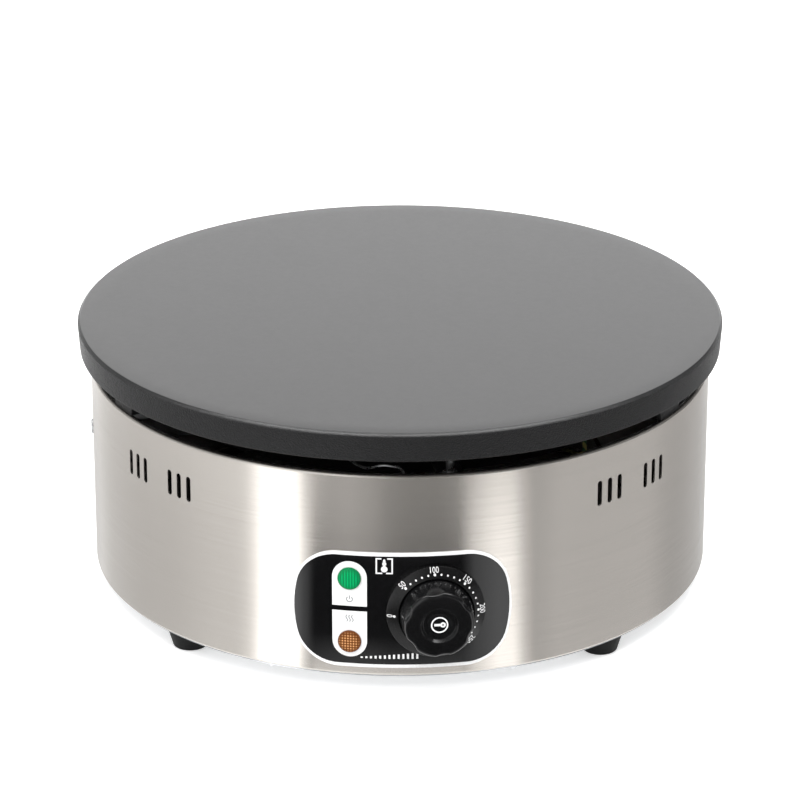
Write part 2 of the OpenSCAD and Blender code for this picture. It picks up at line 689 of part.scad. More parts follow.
// A lozenge outline with bulged ends and round corners, from its four tangent arcs
function panel_outline(half_w, half_h, end_r, corner_r) =
    let (end_c = half_w - end_r, cy = half_h - corner_r,
        cx = end_c + sqrt(pow(end_r - corner_r, 2) - cy*cy), lean = atan(cy/(cx - end_c)),
        quarter = concat(arc([end_c, 0], end_r, 0, lean, 4), arc([cx, cy], corner_r, lean, 90, 12)))
    concat(quarter, [for (i = [len(quarter) - 1:-1:0]) [-quarter[i][0], quarter[i][1]]],
        [for (p = quarter) [-p[0], -p[1]]],
        [for (i = [len(quarter) - 1:-1:0]) [quarter[i][0], -quarter[i][1]]]);

module control_panel() color([0.04, 0.04, 0.045]) difference() {
    intersection() {
        core(panel_out);
        facing(panel_az, panel_z) translate([0, 0, drum_r/2]) linear_extrude(drum_r)
            polygon(panel_outline(panel_out*sin(panel_w/2/panel_out*180/PI), panel_h/2,
                panel_end, panel_corner));
    }
    core(drum_r);
    for (z = lamp_z) facing(lamp_az, z) post(lamp_hole, drum_r - 5, panel_out + 3);
    facing(dial_az, dial_z) post(dial_window, drum_r - 5, panel_out + 3);
}

// A pilot lamp's lens: a low dome on a shank, seated on the panel
module lens() difference() {
    rotate_extrude() polygon(concat([[0, lens_in], [lens_shank, lens_in], [lens_shank, drum_r - 0.5],
        [lens_r, drum_r - 0.5], [lens_r, panel_out + lens_rise - 0.9]],
        arc([lens_r - 0.8, panel_out + lens_rise - 0.9], 0.8, 20, 75, 4),
        [[0, panel_out + lens_rise + 0.3]]));
    intersection() {
        rotate([90, 0, 0]) translate([0, 0, -20]) cylinder(r = panel_out, h = 40, $fn = 192);
        ring(lens_r + 4, 8 + 2*(lens_r - lens_shank), drum_r - 8, panel_out + 1);
    }
}
module power_lens() color([0.0, 0.6, 0.35]) facing(lamp_az, lamp_z[1]) lens();
module heat_lens() color([0.75, 0.4, 0.12]) facing(lamp_az, lamp_z[0]) lens();

module lamp_bodies() color([0.12, 0.12, 0.12]) for (z = lamp_z) intersection() {
    facing(lamp_az, z) {
        difference() {
            union() {
                post(lens_shank + lamp_wall, lens_in - lamp_back, drum_r);
                post(lens_shank + 2*lamp_wall, drum_in - 2.5, drum_r);
            }
            post(lens_shank, lens_in, drum_r + 1);
        }
        for (side = [-1, 1]) translate([side*lamp_pin_x, 0, 0]) block_of([0.8, 4, 8], lamp_end);
    }
    core(drum_in);
}

// The fixed dial: a coned face round a well, seated on the panel and the drum
module dial_ring() color([0.14, 0.14, 0.15]) difference() {
    facing(dial_az, dial_z) difference() {
        rotate_extrude() polygon([[spindle_r + 2.5, drum_r - 10], [dial_r, drum_r - 10],
            [dial_r, dial_face - dial_drop - 0.5], [dial_r - 0.5, dial_face - dial_drop],
            [dial_well + 0.7, dial_face], [dial_well, dial_face - 0.7], [dial_well, well_floor],
            [spindle_r + 2.5, well_floor]]);
        ring((dial_well + dial_r)/2 + 0.4, dial_r - dial_well - 3.6, drum_r - 11,
            dial_face - dial_drop - 1.6);
        for (side = [-1, 1]) translate([side*therm_screw_x, 0, 0])
            post(m4[0]/2 + fit, drum_r - 11, dial_face);
    }
    core(drum_r);
    difference() {
        core(panel_out);
        facing(dial_az, dial_z) post(dial_window - 0.2, drum_r/2, panel_out + 9);
    }
}

// ---- Thermostat ----------------------------------------------------------

module thermostat_plate() color([0.75, 0.76, 0.77]) facing(dial_az, dial_z) difference() {
    block_of([therm_w, therm_h, therm_plate_t], therm_back);
    post(spindle_r + 1.5, therm_back - 1, therm_face + 1);
    for (side = [-1, 1]) translate([side*therm_screw_x, 0, 0]) post(m4[0]/2, therm_back - 1, therm_face + 1);
}
module thermostat_body() color([0.85, 0.82, 0.76]) facing(dial_az, dial_z) difference() {
    union() {
        translate([0, 0, therm_back - therm_depth]) linear_extrude(therm_depth) polygon([
            [-therm_body_w/2, -therm_body_h/2 + 4], [-therm_body_w/2 + 4, -therm_body_h/2],
            [therm_body_w/2 - 4, -therm_body_h/2], [therm_body_w/2, -therm_body_h/2 + 4],
            [therm_body_w/2, therm_body_h/2], [-therm_body_w/2, therm_body_h/2]]);
        translate([0, therm_body_h/2 - 1, therm_back - 12]) rotate([-90, 0, 0])
            cylinder(r = bellows_r, h = 5);
        for (b = therm_blades) translate([b[0], b[1], 0])
            block_of([blade[0], blade[1], blade[2] + 1], blade_end);
    }
    post(spindle_r + 0.05, therm_back - 8, therm_back + 1);
    for (side = [-1, 1]) translate([side*therm_screw_x, 0, 0])
        post(m4[0]/2 + fit, therm_back - 8, therm_back + 1);
}
module thermostat_screws() color([0.75, 0.75, 0.76]) facing(dial_az, dial_z)
    for (side = [-1, 1]) translate([side*therm_screw_x, 0, well_floor])
        pan_screw(m4, well_floor - therm_back + 4);

module d_shape(r, flat) difference() {
    circle(r = r);
    translate([-r, r - flat]) square(2*r);
}
module thermostat_spindle() color([0.8, 0.8, 0.82]) facing(dial_az, dial_z) difference() {
    post(spindle_r, therm_back - 7, spindle_top);
    translate([-spindle_r, spindle_r - spindle_flat, knob_hub_low]) cube([spindle_d, spindle_d, knob_h]);
}

// ---- Knob ----------------------------------------------------------------

// Lean that lets a scallop run out just above the skirt
scallop_run = knob_h - knob_skirt;
scallop_lean = atan((scallop_depth + knob_r - knob_face_r)/scallop_run);

module knob() color([0.03, 0.03, 0.03]) facing(dial_az, dial_z) difference() {
    rotate_extrude() polygon(concat([[0, knob_low], [knob_r, knob_low], [knob_r, knob_low + knob_skirt]],
        arc([knob_face_r - knob_round, knob_top - knob_round], knob_round, 8, 90, 6), [[0, knob_top]]));
    for (k = [0:scallops - 1]) rotate([0, 0, 90 + k*360/scallops])
        translate([knob_face_r - scallop_depth + scallop_r, 0, knob_top]) rotate([0, -scallop_lean, 0])
            translate([0, 0, -2*knob_h]) cylinder(r = scallop_r, h = 3*knob_h, $fn = 64);
    difference() {
        post(knob_face_r - scallop_depth - knob_wall, knob_low - 1, knob_top - knob_floor);
        post(knob_hub_r, knob_low - 2, knob_top);
        for (turn = [45, 135]) rotate([0, 0, turn]) block_of([knob_d, knob_rib_t, knob_h], knob_low + 3);
    }
    post(knob_hub_r + 0.5, knob_low - 1, knob_hub_low);
    translate([0, 0, knob_hub_low - 1]) linear_extrude(spindle_top - knob_hub_low + 1)
        d_shape(spindle_r, spindle_flat - clip_t);
    translate([0, 0, knob_top - dish_depth]) cylinder(r1 = dish_r - 1.4, r2 = dish_r, h = dish_depth + 0.01);
    post(cap_r, cap_low, knob_top);
}
module knob_cap() color([0.05, 0.05, 0.05]) facing(dial_az, dial_z) translate([0, 0, cap_low])
    rotate_extrude() polygon([[0, 0], [cap_r, 0], [cap_r, cap_t - 0.3], [cap_r - 0.3, cap_t], [0, cap_t]]);
module knob_clip() color([0.8, 0.8, 0.82]) facing(dial_az, dial_z)
    translate([-clip_w/2, spindle_r - spindle_flat, spindle_top - clip_l]) cube([clip_w, clip_t, clip_l]);

// ---- Terminal block, gland and leads -------------------------------------

module terminal_block() color([0.92, 0.91, 0.87]) translate([0, block_y, 0]) difference() {
    block_of(block, drum_low);
    for (x = pole_x) translate([x, 0, 0]) {
        block_of([pole[0], block[1] + 2, pole[1]], drum_low + pole_z - pole[1]/2);
        for (side = [-1, 1]) translate([0, side*pole_screw_y, 0])
            post(pole_screw_r + 2*fit, drum_low + pole_z, drum_low + block[2] + 1);
    }
    for (side = [-1, 1]) translate([side*block_screw_x, 0, 0])
        post(m3[0]/2 + fit, drum_low - 1, drum_low + block[2] + 1);
}
module terminal_clamps() color([0.8, 0.65, 0.3]) for (x = pole_x) translate([x, block_y, 0]) {
    block_of([pole[0], block[1] - 4, pole[1]], drum_low + pole_z - pole[1]/2);
    for (side = [-1, 1]) translate([0, side*pole_screw_y, 0])
        post(pole_screw_r, drum_low + pole_z, drum_low + block[2] - 2);
}
module block_screws() color([0.75, 0.75, 0.76]) for (side = [-1, 1])
    translate([side*block_screw_x, block_y, drum_low + block[2]]) pan_screw(m3, block[2] + base_t + 2);
module earth_screws() color([0.8, 0.65, 0.3]) {
    translate([earth_xy[0], earth_xy[1], drum_low + tag_t]) pan_screw(m4, tag_t + base_t + 3);
    at(earth_az, earth_circle, earth_boss_low - tag_t) rotate([180, 0, 0]) pan_screw(m4, tag_t + 7);
}

module gland_seal() color([0.08, 0.08, 0.08]) difference() {
    facing(180, gland_z) difference() {
        post(seal_r, drum_r - 5, seal_face);
        post(gland_r, drum_r - 6, seal_face + 1);
    }
    core(drum_r);
}
module gland_body() color([0.12, 0.12, 0.12]) facing(180, gland_z) difference() {
    union() {
        post(gland_r, gland_in, seal_face + 1);
        hex(2*seal_r*cos(30), seal_face, seal_face + hex_t);
        post(neck_r, seal_face + hex_t - 1, seal_face + hex_t + neck_l);
    }
    post(bush_r, seal_face + hex_t + neck_l - bush_l, seal_face + hex_t + neck_l + 1);
    post(cable_r + 1, gland_in - 1, seal_face + hex_t + neck_l);
}
module gland_bush() color([0.2, 0.2, 0.2]) facing(180, gland_z) difference() {
    post(bush_r, seal_face + hex_t + neck_l - bush_l, seal_face + hex_t + neck_l);
    post(cable_r, seal_face + hex_t + neck_l - bush_l - 1, seal_face + hex_t + neck_l + 1);
}
module gland_cap() color([0.12, 0.12, 0.12]) facing(180, gland_z) translate([0, 0, seal_face + hex_t])
    difference() {
        union() {
            hex(2*seal_r*cos(30) - 1, 0.4, cap_len*0.55);
            rotate_extrude() polygon(concat([[0, 1], [seal_r - 1.6, 1]],
                arc([seal_r - 1.6 - 6, cap_len - 6], 6, 0, 80, 6), [[0, cap_len]]));
        }
        post(neck_r, -1, neck_l);
        post(cable_r + 0.8, 0, cap_len + 1);
    }
module gland_locknut() color([0.12, 0.12, 0.12]) facing(180, gland_z) {
    face = sqrt(drum_in*drum_in - locknut_r*locknut_r);
    difference() {
        hex(2*locknut_r*cos(30), face - locknut_t, face);
        post(gland_r, face - locknut_t - 1, face + 1);
    }
}

// Where the leads start: a thermostat blade, the foot of an element pin, a pole of the block, a lamp's pin
function blade_at(i, deep) = let (b = therm_blades[i], d = blade_end - lead_gap - deep)
    [d*sin(dial_az) + b[0]*cos(dial_az), -d*cos(dial_az) + b[0]*sin(dial_az), dial_z + b[1]];
function pin_at(loop, half, side, drop) =
    spot([leg_az(loop, half, side), leg_r(loop), pin_low - lead_gap - drop]);
// Joins the legs of the two loops on one side of their gap, at the sides of their pins
function jumper(side) = let (z = pin_low + 4,
    a = leg_az(outer_loop, outer_half_gap, side), ra = leg_r(outer_loop) - pin_r - lead_gap,
    b = leg_az(inner_loop, inner_half_gap, side), rb = leg_r(inner_loop) + pin_r + lead_gap)
    route([[a, ra, z], [a, ra - 8, z - 2], [(a + b)/2, (ra + rb)/2, z - 9], [b, rb + 8, z - 2], [b, rb, z]]);
function pole_at(i, out) = [pole_x[i], block_y - block[1]/2 + 2 - lead_gap - out, drum_low + pole_z];
function lamp_at(i, side, deep) = let (d = lamp_end - lead_gap - deep, x = side*lamp_pin_x)
    [d*sin(lamp_az) + x*cos(lamp_az), -d*cos(lamp_az) + x*sin(lamp_az), lamp_z[i]];

// Where the wiring runs: its distance from the axis near the wall, and the floor it lies over
run = drum_r - 26.4;
low = drum_low + lead_d/2;
power_routes = [
    concat([blade_at(1, 0), blade_at(1, 8)],
        route([[16, run - 38, low + 31], [28, run - 46, low + 9], [60, run - 50, low + 5.5],
            [110, run - 62, low + 5.5], [155, run - 74, low + 6.5]]),
        [pole_at(2, 14), pole_at(2, 0)]),
    concat([blade_at(3, 0), blade_at(3, 8)],
        route([[18, run - 30, low + 21], [40, run - 24, low + 15], [80, run - 20, low + 19],
            [120, run - 18, low + 35], [138, run - 16, low + 61]]),
        [pin_at(outer_loop, outer_half_gap, -1, 8), pin_at(outer_loop, outer_half_gap, -1, 0)]),
    concat([pole_at(1, 0), pole_at(1, 14)],
        route([[170, block_y - 52, low + 15], [165, leg_r(inner_loop) - 5, low + 33],
            [159, leg_r(inner_loop) + 21, low + 51]]),
        [spot([leg_az(inner_loop, inner_half_gap, 1), leg_r(inner_loop), 80]),
            pin_at(inner_loop, inner_half_gap, 1, 0)]),
    jumper(-1), jumper(1)];
module power_leads() color([0.55, 0.2, 0.12]) for (r = power_routes) tube(smooth(r, 4), lead_d/2);

// Two leads from each lamp, the pairs sharing the thermostat's left-hand blades side by side
lamp_routes = [for (i = [0, 1], side = [-1, 1])
    let (b = side < 0 ? 0 : 2, shift = [0, 0, (i - 0.5)*1.2*lead_d])
    concat([lamp_at(i, side, 0), lamp_at(i, side, 8)],
        route([[side*3 - 9 - 2*i, run - 28 - 8*i, lamp_z[i] - 4 + side*(3 - 6*i)],
            [side*2 - 6 - 2*i, run - 38 - 8*i, dial_z - 7 + 12*i - 8*side]]),
        [blade_at(b, 9) + 2*shift, blade_at(b, 0) + shift])];
module lamp_leads() color([0.3, 0.3, 0.55]) for (r = lamp_routes) tube(smooth(r, 4), lead_d/3);

earth_route = concat([[earth_xy[0], earth_xy[1] + tag_reach, low + 0.1]],
    route([[-164, run - 14, low + 4.5], [176, run - 6, low + 9.5], [150, run - 2, low + 11.5],
        [110, run, low + 17.5], [70, run + 2, low + 33.5], [46, run + 8, low + 65.5]]),
    [for (z = [pan_low - 10, pan_top, earth_boss_low - tag_t/2])
        spot([earth_az, earth_circle + tag_reach, z])]);
module earth_tag() difference() {
    union() {
        post(tag_r, 0, tag_t);
        translate([-2.4, -tag_reach - 2, 0]) cube([4.8, tag_reach + 2, tag_t]);
    }
    post(m4[0]/2 + fit, -1, tag_t + 1);
}
module earth_lead() color([0.45, 0.65, 0.1]) {
    tube(smooth(earth_route, 5), lead_d/2);
    translate([earth_xy[0], earth_xy[1], drum_low]) rotate([0, 0, 180]) earth_tag();
    at(earth_az, earth_circle, earth_boss_low - tag_t) earth_tag();
}

griddle_plate();
outer_element();
inner_element();
element_terminals();
clamp_bars();
clamp_studs();
clamp_washers();
clamp_nuts();
thermostat_bulb();
bulb_clip();
bulb_screws();
capillary_tube();
reflector_pan();
insulation_pad();
pan_studs();
pan_nuts();
hold_stud();
hold_nuts();
hold_washers();
crossbar();
crossbar_screws();
crossbar_nuts();
drum();
base_plate();
base_screws();
feet();
foot_screws();
foot_nuts();
control_panel();
power_lens();
heat_lens();
lamp_bodies();
dial_ring();
thermostat_plate();
thermostat_body();
thermostat_screws();
thermostat_spindle();
knob();
knob_cap();
knob_clip();
terminal_block();
terminal_clamps();
block_screws();
gland_seal();
gland_body();
gland_bush();
gland_cap();
gland_locknut();
power_leads();
lamp_leads();
earth_lead();
earth_screws();
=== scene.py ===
# %% [markdown]
# # An electric crepe maker
# A thick cast iron plate stands on a drum of brushed stainless steel. Inside the drum are two heating
# loops, a thermostat and their wiring. A black control panel is bent round the front of the drum, with
# two pilot lamps, a dial with a printed scale and a knob.
#
# The construction already exists as CAD, so this lesson only dresses it. Surfaces that catch the eye are
# made again with rounded edges, printing is laid on as thin raised shapes, and every piece gets a finish.

import json
import math

import bpy
import numpy as np
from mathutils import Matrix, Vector


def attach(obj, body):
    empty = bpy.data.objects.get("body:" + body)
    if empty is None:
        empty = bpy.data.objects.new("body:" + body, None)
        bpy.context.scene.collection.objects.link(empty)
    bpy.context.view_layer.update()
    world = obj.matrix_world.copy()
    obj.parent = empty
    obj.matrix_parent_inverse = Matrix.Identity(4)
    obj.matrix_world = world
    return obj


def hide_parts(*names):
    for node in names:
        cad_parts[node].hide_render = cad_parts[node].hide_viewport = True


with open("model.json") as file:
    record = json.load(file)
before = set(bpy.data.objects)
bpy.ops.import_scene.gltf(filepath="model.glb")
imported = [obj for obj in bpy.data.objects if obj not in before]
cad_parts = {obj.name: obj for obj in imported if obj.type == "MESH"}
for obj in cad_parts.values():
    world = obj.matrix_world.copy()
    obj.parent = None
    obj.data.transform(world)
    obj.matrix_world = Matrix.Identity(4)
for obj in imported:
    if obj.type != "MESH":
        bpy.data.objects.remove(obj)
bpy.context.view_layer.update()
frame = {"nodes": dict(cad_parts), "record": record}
MM = 0.001  # metres in a millimetre

# %% [markdown]
# ## Sizes that the pieces share
# The drum, the plate and the controls are round, so most places are given as an azimuth (the angle round
# the drum, from the front towards the right) and a radius. Everything is written in millimetres, as on a
# workshop drawing, and turned into Blender's metres in one place.

# %% Sizes
FLOOR_TO_DRUM = 13.0
DRUM_RADIUS = 192.4
PANEL_RADIUS = 193.0
PLATE_R, PLATE_TOP, RIM_LOW, WEB_LOW = 200.0, 171.0, 153.0, 159.0
PANEL_AZ, PANEL_Z = 1.75, 55.8
LAMP_AZ, LAMP_Z = -7.45, (35.3, 76.0)
DIAL_AZ, DIAL_Z = 7.6, 56.0


def turned(azimuth, radius, height):
    """x = radius sin(azimuth), y = -radius cos(azimuth), z = height, azimuth in degrees."""
    a = np.radians(azimuth)
    return np.stack(np.broadcast_arrays(radius * np.sin(a), -radius * np.cos(a), height), -1)


def outward(azimuth, height, x, y, d):
    """A point of a control that faces outwards: d along its axis from the drum's middle, x right, y up."""
    a = math.radians(azimuth)
    return np.stack(np.broadcast_arrays(
        d * math.sin(a) + x * math.cos(a), -d * math.cos(a) + x * math.sin(a), height + y), -1)


def on_cylinder(x, radius):
    """How far out a cylinder's skin lies at x beside the control's axis: the root of radius^2 - x^2."""
    return np.sqrt(radius**2 - np.asarray(x) ** 2)


# %% [markdown]
# ## From arrays to meshes
# A surface is worked out as a grid of points, all at once. Two facts about the grid are enough to give it
# faces: whether its columns run round and meet, and whether its first and last rows are poles. A closed
# shape's volume tells whether its faces look outwards, so a shape that comes out negative is turned.

# %% Mesh helpers
SHARP = 35  # degrees: an edge that turns by more isn't smoothed over


def grid_shape(points, wrap=True, pole_first=False, pole_last=False):
    """Quads between the rows and columns of points (rows, columns, 3). A pole row becomes one vertex."""
    rows, cols = points.shape[:2]
    number = np.arange(rows * cols).reshape(rows, cols)
    if pole_first:
        number[0] = number[0, 0]
    if pole_last:
        number[-1] = number[-1, 0]
    if wrap:
        number = np.concatenate([number, number[:, :1]], 1)
    quads = np.stack([number[:-1, :-1], number[:-1, 1:], number[1:, 1:], number[1:, :-1]], -1)
    return points.reshape(-1, 3), quads.reshape(-1, 4)


def signed_volume(points, quads):
    """A sixth of the sum of a . (b x c) over the triangles of a closed shape."""
    tris = np.concatenate([quads[:, [0, 1, 2]], quads[:, [0, 2, 3]]])
    a, b, c = (points[tris[:, k]] for k in range(3))
    return float(np.einsum("ij,ij->i", a, np.cross(b, c)).sum() / 6)


def solid(points, quads):
    """The same shape with its faces looking outwards."""
    middle = points.mean(0)
    return (points, quads) if signed_volume(points - middle, quads) > 0 else (points, quads[:, ::-1])


def shell(rows):
    """A closed shape from rows of points that run round. The first and the last row are poles."""
    return solid(*grid_shape(np.stack(rows), True, True, True))


def placed(name, data):
    """A new object in the scene, at the origin."""
    thing = bpy.data.objects.new(name, data)
    bpy.context.scene.collection.objects.link(thing)
    return thing


def smoothed(mesh, sharp):
    """Smooth shading, apart from the edges that turn by more than sharp degrees."""
    mesh.shade_smooth()
    mesh.set_sharp_from_angle(angle=math.radians(sharp))


def piece(name, shapes, body, stands_for=(), sharp=SHARP, zones=None):
    """One object from several shapes in millimetres. Repeated corners are dropped, so poles are closed."""
    points, faces, start = [], [], 0
    for p, q in shapes:
        points.append(p)
        faces.append(q + start)
        start += len(p)
    points, faces = np.concatenate(points) * MM, np.concatenate(faces)
    used, inverse = np.unique(faces, return_inverse=True)
    faces = inverse.reshape(faces.shape)
    doubled = faces == np.roll(faces, 1, 1)
    corner_lists = [row[~twin].tolist() for row, twin in zip(faces, doubled)]
    keep = [len(c) > 2 for c in corner_lists]
    mesh = bpy.data.meshes.new(name)
    mesh.from_pydata(points[used].tolist(), [], [c for c, k in zip(corner_lists, keep) if k])
    smoothed(mesh, sharp)
    thing = placed(name, mesh)
    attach(thing, body)
    if stands_for:
        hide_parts(*stands_for)
    if zones is not None:
        mesh.polygons.foreach_set("material_index", zones[np.array(keep)].astype(np.int32))
    print(f"{name}: {len(mesh.vertices)} vertices, {len(mesh.polygons)} faces")
    return thing


# %% [markdown]
# ## Rounded profiles
# Real edges are never quite sharp: a small radius catches the light and draws the outline of the piece.
# So a profile is first written with plain corners, and then each corner is replaced by an arc that
# touches both of its sides.

# %% Profile helpers
def rounded(corners, radii, steps=6, closed=False):
    """Each corner gives way to an arc of its radius r, which starts and ends r tan(turn/2) from it."""
    corners, out = np.asarray(corners, float), []
    n = len(corners)
    for i, (here, r) in enumerate(zip(corners, radii)):
        if r == 0 or (not closed and i in (0, n - 1)):
            out.append(here[None])
            continue
        a, b = corners[i - 1] - here, corners[(i + 1) % n] - here
        a, b = a / np.linalg.norm(a), b / np.linalg.norm(b)
        half = math.acos(np.clip(a @ b, -1, 1)) / 2
        middle = here + (a + b) / np.linalg.norm(a + b) * r / math.sin(half)
        start, end = here + a * r / math.tan(half) - middle, here + b * r / math.tan(half) - middle
        t = np.linspace(0, 1, steps + 1)[:, None]
        blend = start * (1 - t) + end * t
        out.append(middle + r * blend / np.linalg.norm(blend, axis=1, keepdims=True))
    return np.concatenate(out)


def spaced(profile, step):
    """Extra points on the profile's long straight runs, no more than step apart."""
    out = [profile[:1]]
    for a, b in zip(profile[:-1], profile[1:]):
        count = max(1, int(np.ceil(np.linalg.norm(b - a) / step)))
        out.append(a + (b - a) * np.linspace(0, 1, count + 1)[1:, None])
    return np.concatenate(out)


def revolved(profile, columns, centre=(0.0, 0.0)):
    """A profile of (radius, height) carried round a vertical axis through centre. Radius 0 is a pole."""
    az = np.linspace(0, 360, columns, endpoint=False)
    points = turned(az[None, :], profile[:, :1], profile[:, 1:2]) + np.array([*centre, 0.0])
    return solid(*grid_shape(points, True, profile[0, 0] == 0, profile[-1, 0] == 0))


def circle(r, x=0.0, y=0.0, count=48):
    """Points of a circle about (x, y)."""
    t = np.linspace(0, 2 * np.pi, count, endpoint=False)
    return np.stack([x + r * np.cos(t), y + r * np.sin(t)], 1)


def loop(azimuth, height, r, d, count):
    """A circle of points round a control's axis. Its distance d may be a number or a rule for x."""
    x, y = circle(r, count=count).T
    return outward(azimuth, height, x, y, d(x) if callable(d) else d)


# %% [markdown]
# ## The griddle plate
# The plate is one iron casting, turned flat on top. It has a chamfer round the cooking surface, a rim
# that narrows downwards so that the casting leaves its mould, and three lugs that stand on the drum.
# A turned profile gives the plate itself. The lugs, ribs and seats underneath are small tapered shapes
# that sink a little into it, as they would be fused in the casting.

# %% Griddle plate
CHAMFER, LONGEST_RUN = 1.7, 12
plate_profile = spaced(rounded(
    [(0, PLATE_TOP), (PLATE_R - CHAMFER, PLATE_TOP), (PLATE_R, PLATE_TOP - CHAMFER), (198.9, RIM_LOW),
     (188.9, RIM_LOW), (187.9, WEB_LOW), (0, WEB_LOW)], [0, 0.9, 0.9, 1.2, 1.0, 2.0, 0]), LONGEST_RUN)
SUNK = WEB_LOW + 0.5  # how high the parts under the plate reach into it


def lug(azimuth, low=142.05, half=11.5, spread=2.0, inner=182.4, outer=190.4):
    """A block between two radii that follows the drum's edge, and widens upwards by spread a side."""
    across = np.concatenate([np.linspace(-1, 1, 25), np.linspace(1, -1, 25)])
    radius = np.repeat([outer, inner], 25)
    def row(half_width, height, share=1.0):
        angle = azimuth + np.degrees(half_width * across / radius)
        middle = turned(azimuth, (inner + outer) / 2, height)
        return middle + (turned(angle, radius, height) - middle) * share
    return shell([row(half, low, 0.0), row(half - 0.5, low), row(half, low + 0.5), row(half + spread, SUNK),
                  row(half, SUNK, 0.0)])


def rib(azimuth, r0=22.0, r1=188.2, half=3.0, low=156.0):
    """A straight rib along the radius, a millimetre narrower below than above."""
    def row(width, height, share=1.0):
        x, r = width * np.array([-1, 1, 1, -1]), np.array([r1, r1, r0, r0])
        corners = outward(azimuth, height, x, 0, r)
        return corners.mean(0) + (corners - corners.mean(0)) * share
    return shell([row(half - 0.5, low, 0.0), row(half - 0.5, low), row(half, SUNK), row(half, SUNK, 0.0)])


def boss(azimuth, radius, r, low):
    """A short round boss with a rounded foot under the plate."""
    x, y, _ = turned(azimuth, radius, 0.0)
    profile = rounded([(0, low), (r, low), (r + 0.4, SUNK), (0, SUNK)], [0, 0.6, 0, 0])
    return revolved(profile, 48, (x, y))


seat_section = np.array([(-6, 156.0), (6, 156.0), (6.4, 159.5), (-6.4, 159.5), (-6, 156.0)])
seats = [revolved(seat_section + [r, 0], 180) for r in (150, 88)]
underside = ([lug(az) for az in (60, 180, 300)] + [rib(az) for az in range(30, 360, 60)]
             + [boss(az, 119, 9, 148.5) for az in (60, 180, 300)]
             + [boss(az, 176, 6.5, 153.0) for az in (11, 131, 251)]
             + [boss(40, 169, 4.6, 154.0), boss(0, 0, 24, 151.0)])
disc = revolved(plate_profile, 720)
plate = piece("plate", [disc] + seats + underside, "housing", ["griddle_plate"])
print("plate volume in litres:", round(signed_volume(*disc) / 1e6, 3))

# %% [markdown]
# ## The drum
# The drum is one strip of stainless steel, rolled round and welded. Its top edge is folded inwards into
# a hem with a turned-down lip, which stiffens it and carries the plate. Its bottom edge is folded into a
# flange. The folds are the rounded corners of a thin closed profile. The vents are punched afterwards,
# so here too they are cut out of the finished sheet.

# %% Drum
DRUM_TOP, FLANGE_R, HEM_R, SHEET = 142.0, 182.0, 188.9, 1.0
VENT_GROUPS, VENT_PITCH = (41.7, 53.5, 126.5, 138.3), 2.382
DRUM_LOW, LIP_LOW = FLOOR_TO_DRUM, 138.0
drum_corners = [
    (FLANGE_R, DRUM_LOW), (DRUM_RADIUS, DRUM_LOW), (DRUM_RADIUS, DRUM_TOP), (HEM_R, DRUM_TOP),
    (HEM_R, LIP_LOW), (HEM_R + SHEET, LIP_LOW), (HEM_R + SHEET, DRUM_TOP - SHEET),
    (DRUM_RADIUS - SHEET, DRUM_TOP - SHEET), (DRUM_RADIUS - SHEET, DRUM_LOW + SHEET),
    (FLANGE_R, DRUM_LOW + SHEET)]
drum_profile = rounded(drum_corners, [0.2, 2, 2, 0.6, 0.3, 0.3, 0.2, 1, 1, 0.2], 8, closed=True)
drum_profile = np.concatenate([drum_profile, drum_profile[:1]])


def vent(azimuth, height=113.2, width=3.5, tall=16.0):
    """A punch in the shape of a stadium, longer than the sheet is thick, pointing at the drum's axis."""
    t = np.linspace(0, np.pi, 13)
    half = np.stack([width / 2 * np.cos(t), (tall - width) / 2 + width / 2 * np.sin(t)], 1)
    outline = np.concatenate([half, -half])
    return shell([outward(azimuth, height, outline[:, 0] * s, outline[:, 1] * s, d)
                  for s, d in ((0, 186), (1, 186), (1, 197), (0, 197))])


vents = [vent(way * (group + step)) for way in (-1, 1) for group in VENT_GROUPS
         for step in (-VENT_PITCH, 0, VENT_PITCH)]
drum = piece("drum", [revolved(drum_profile, 720)], "housing", ["drum"])
punch = piece("punch", vents, "housing")
punching = drum.modifiers.new("vents", "BOOLEAN")
punching.operation, punching.solver, punching.object = "DIFFERENCE", "EXACT", punch
pierced = bpy.data.meshes.new_from_object(drum.evaluated_get(bpy.context.evaluated_depsgraph_get()))
drum.modifiers.clear()
drum.data = pierced
bpy.data.objects.remove(punch)
smoothed(drum.data, SHARP)
print("drum:", len(drum.data.polygons), "faces after", len(vents), "vents were punched")

# %% [markdown]
# ## The control panel
# The panel is a thin overlay with bulged ends, bent round the drum. Its outline is four pairs of arcs
# that meet smoothly. The black field inside the white border has a slightly smaller outline of the same
# kind. The panel is made as rings of points: the rolled edge, the border, and then the field, which
# shrinks towards the middle. The ring between the two outlines is the border, so its edge is crisp.

# %% Control panel
def lozenge(half_w, half_h, end_r, corner_r, count=60):
    """Outline of four end arcs, four corner arcs that share their tangents, and two flats between."""
    end_c, cy = half_w - end_r, half_h - corner_r
    cx = end_c + math.sqrt((end_r - corner_r) ** 2 - cy**2)
    lean = math.atan2(cy, cx - end_c)
    t, u = np.linspace(0, lean, count // 3), np.linspace(lean, math.pi / 2, count)[1:]
    quarter = np.concatenate([np.stack([end_c + end_r * np.cos(t), end_r * np.sin(t)], 1),
                              np.stack([cx + corner_r * np.cos(u), cy + corner_r * np.sin(u)], 1),
                              np.stack([cx * np.linspace(1, 0, 16)[1:], np.full(15, half_h)], 1)])
    mirror = quarter[-2::-1] * [-1, 1]
    return np.concatenate([quarter, mirror, quarter[1:] * -1, mirror[:-1] * -1])


def bent(outline, azimuth, height, radius):
    """Flat (x, y) points laid on a cylinder of that radius, straight back along the control's axis."""
    x, y = outline[..., 0], outline[..., 1]
    return outward(azimuth, height, x, y, on_cylinder(x, radius))


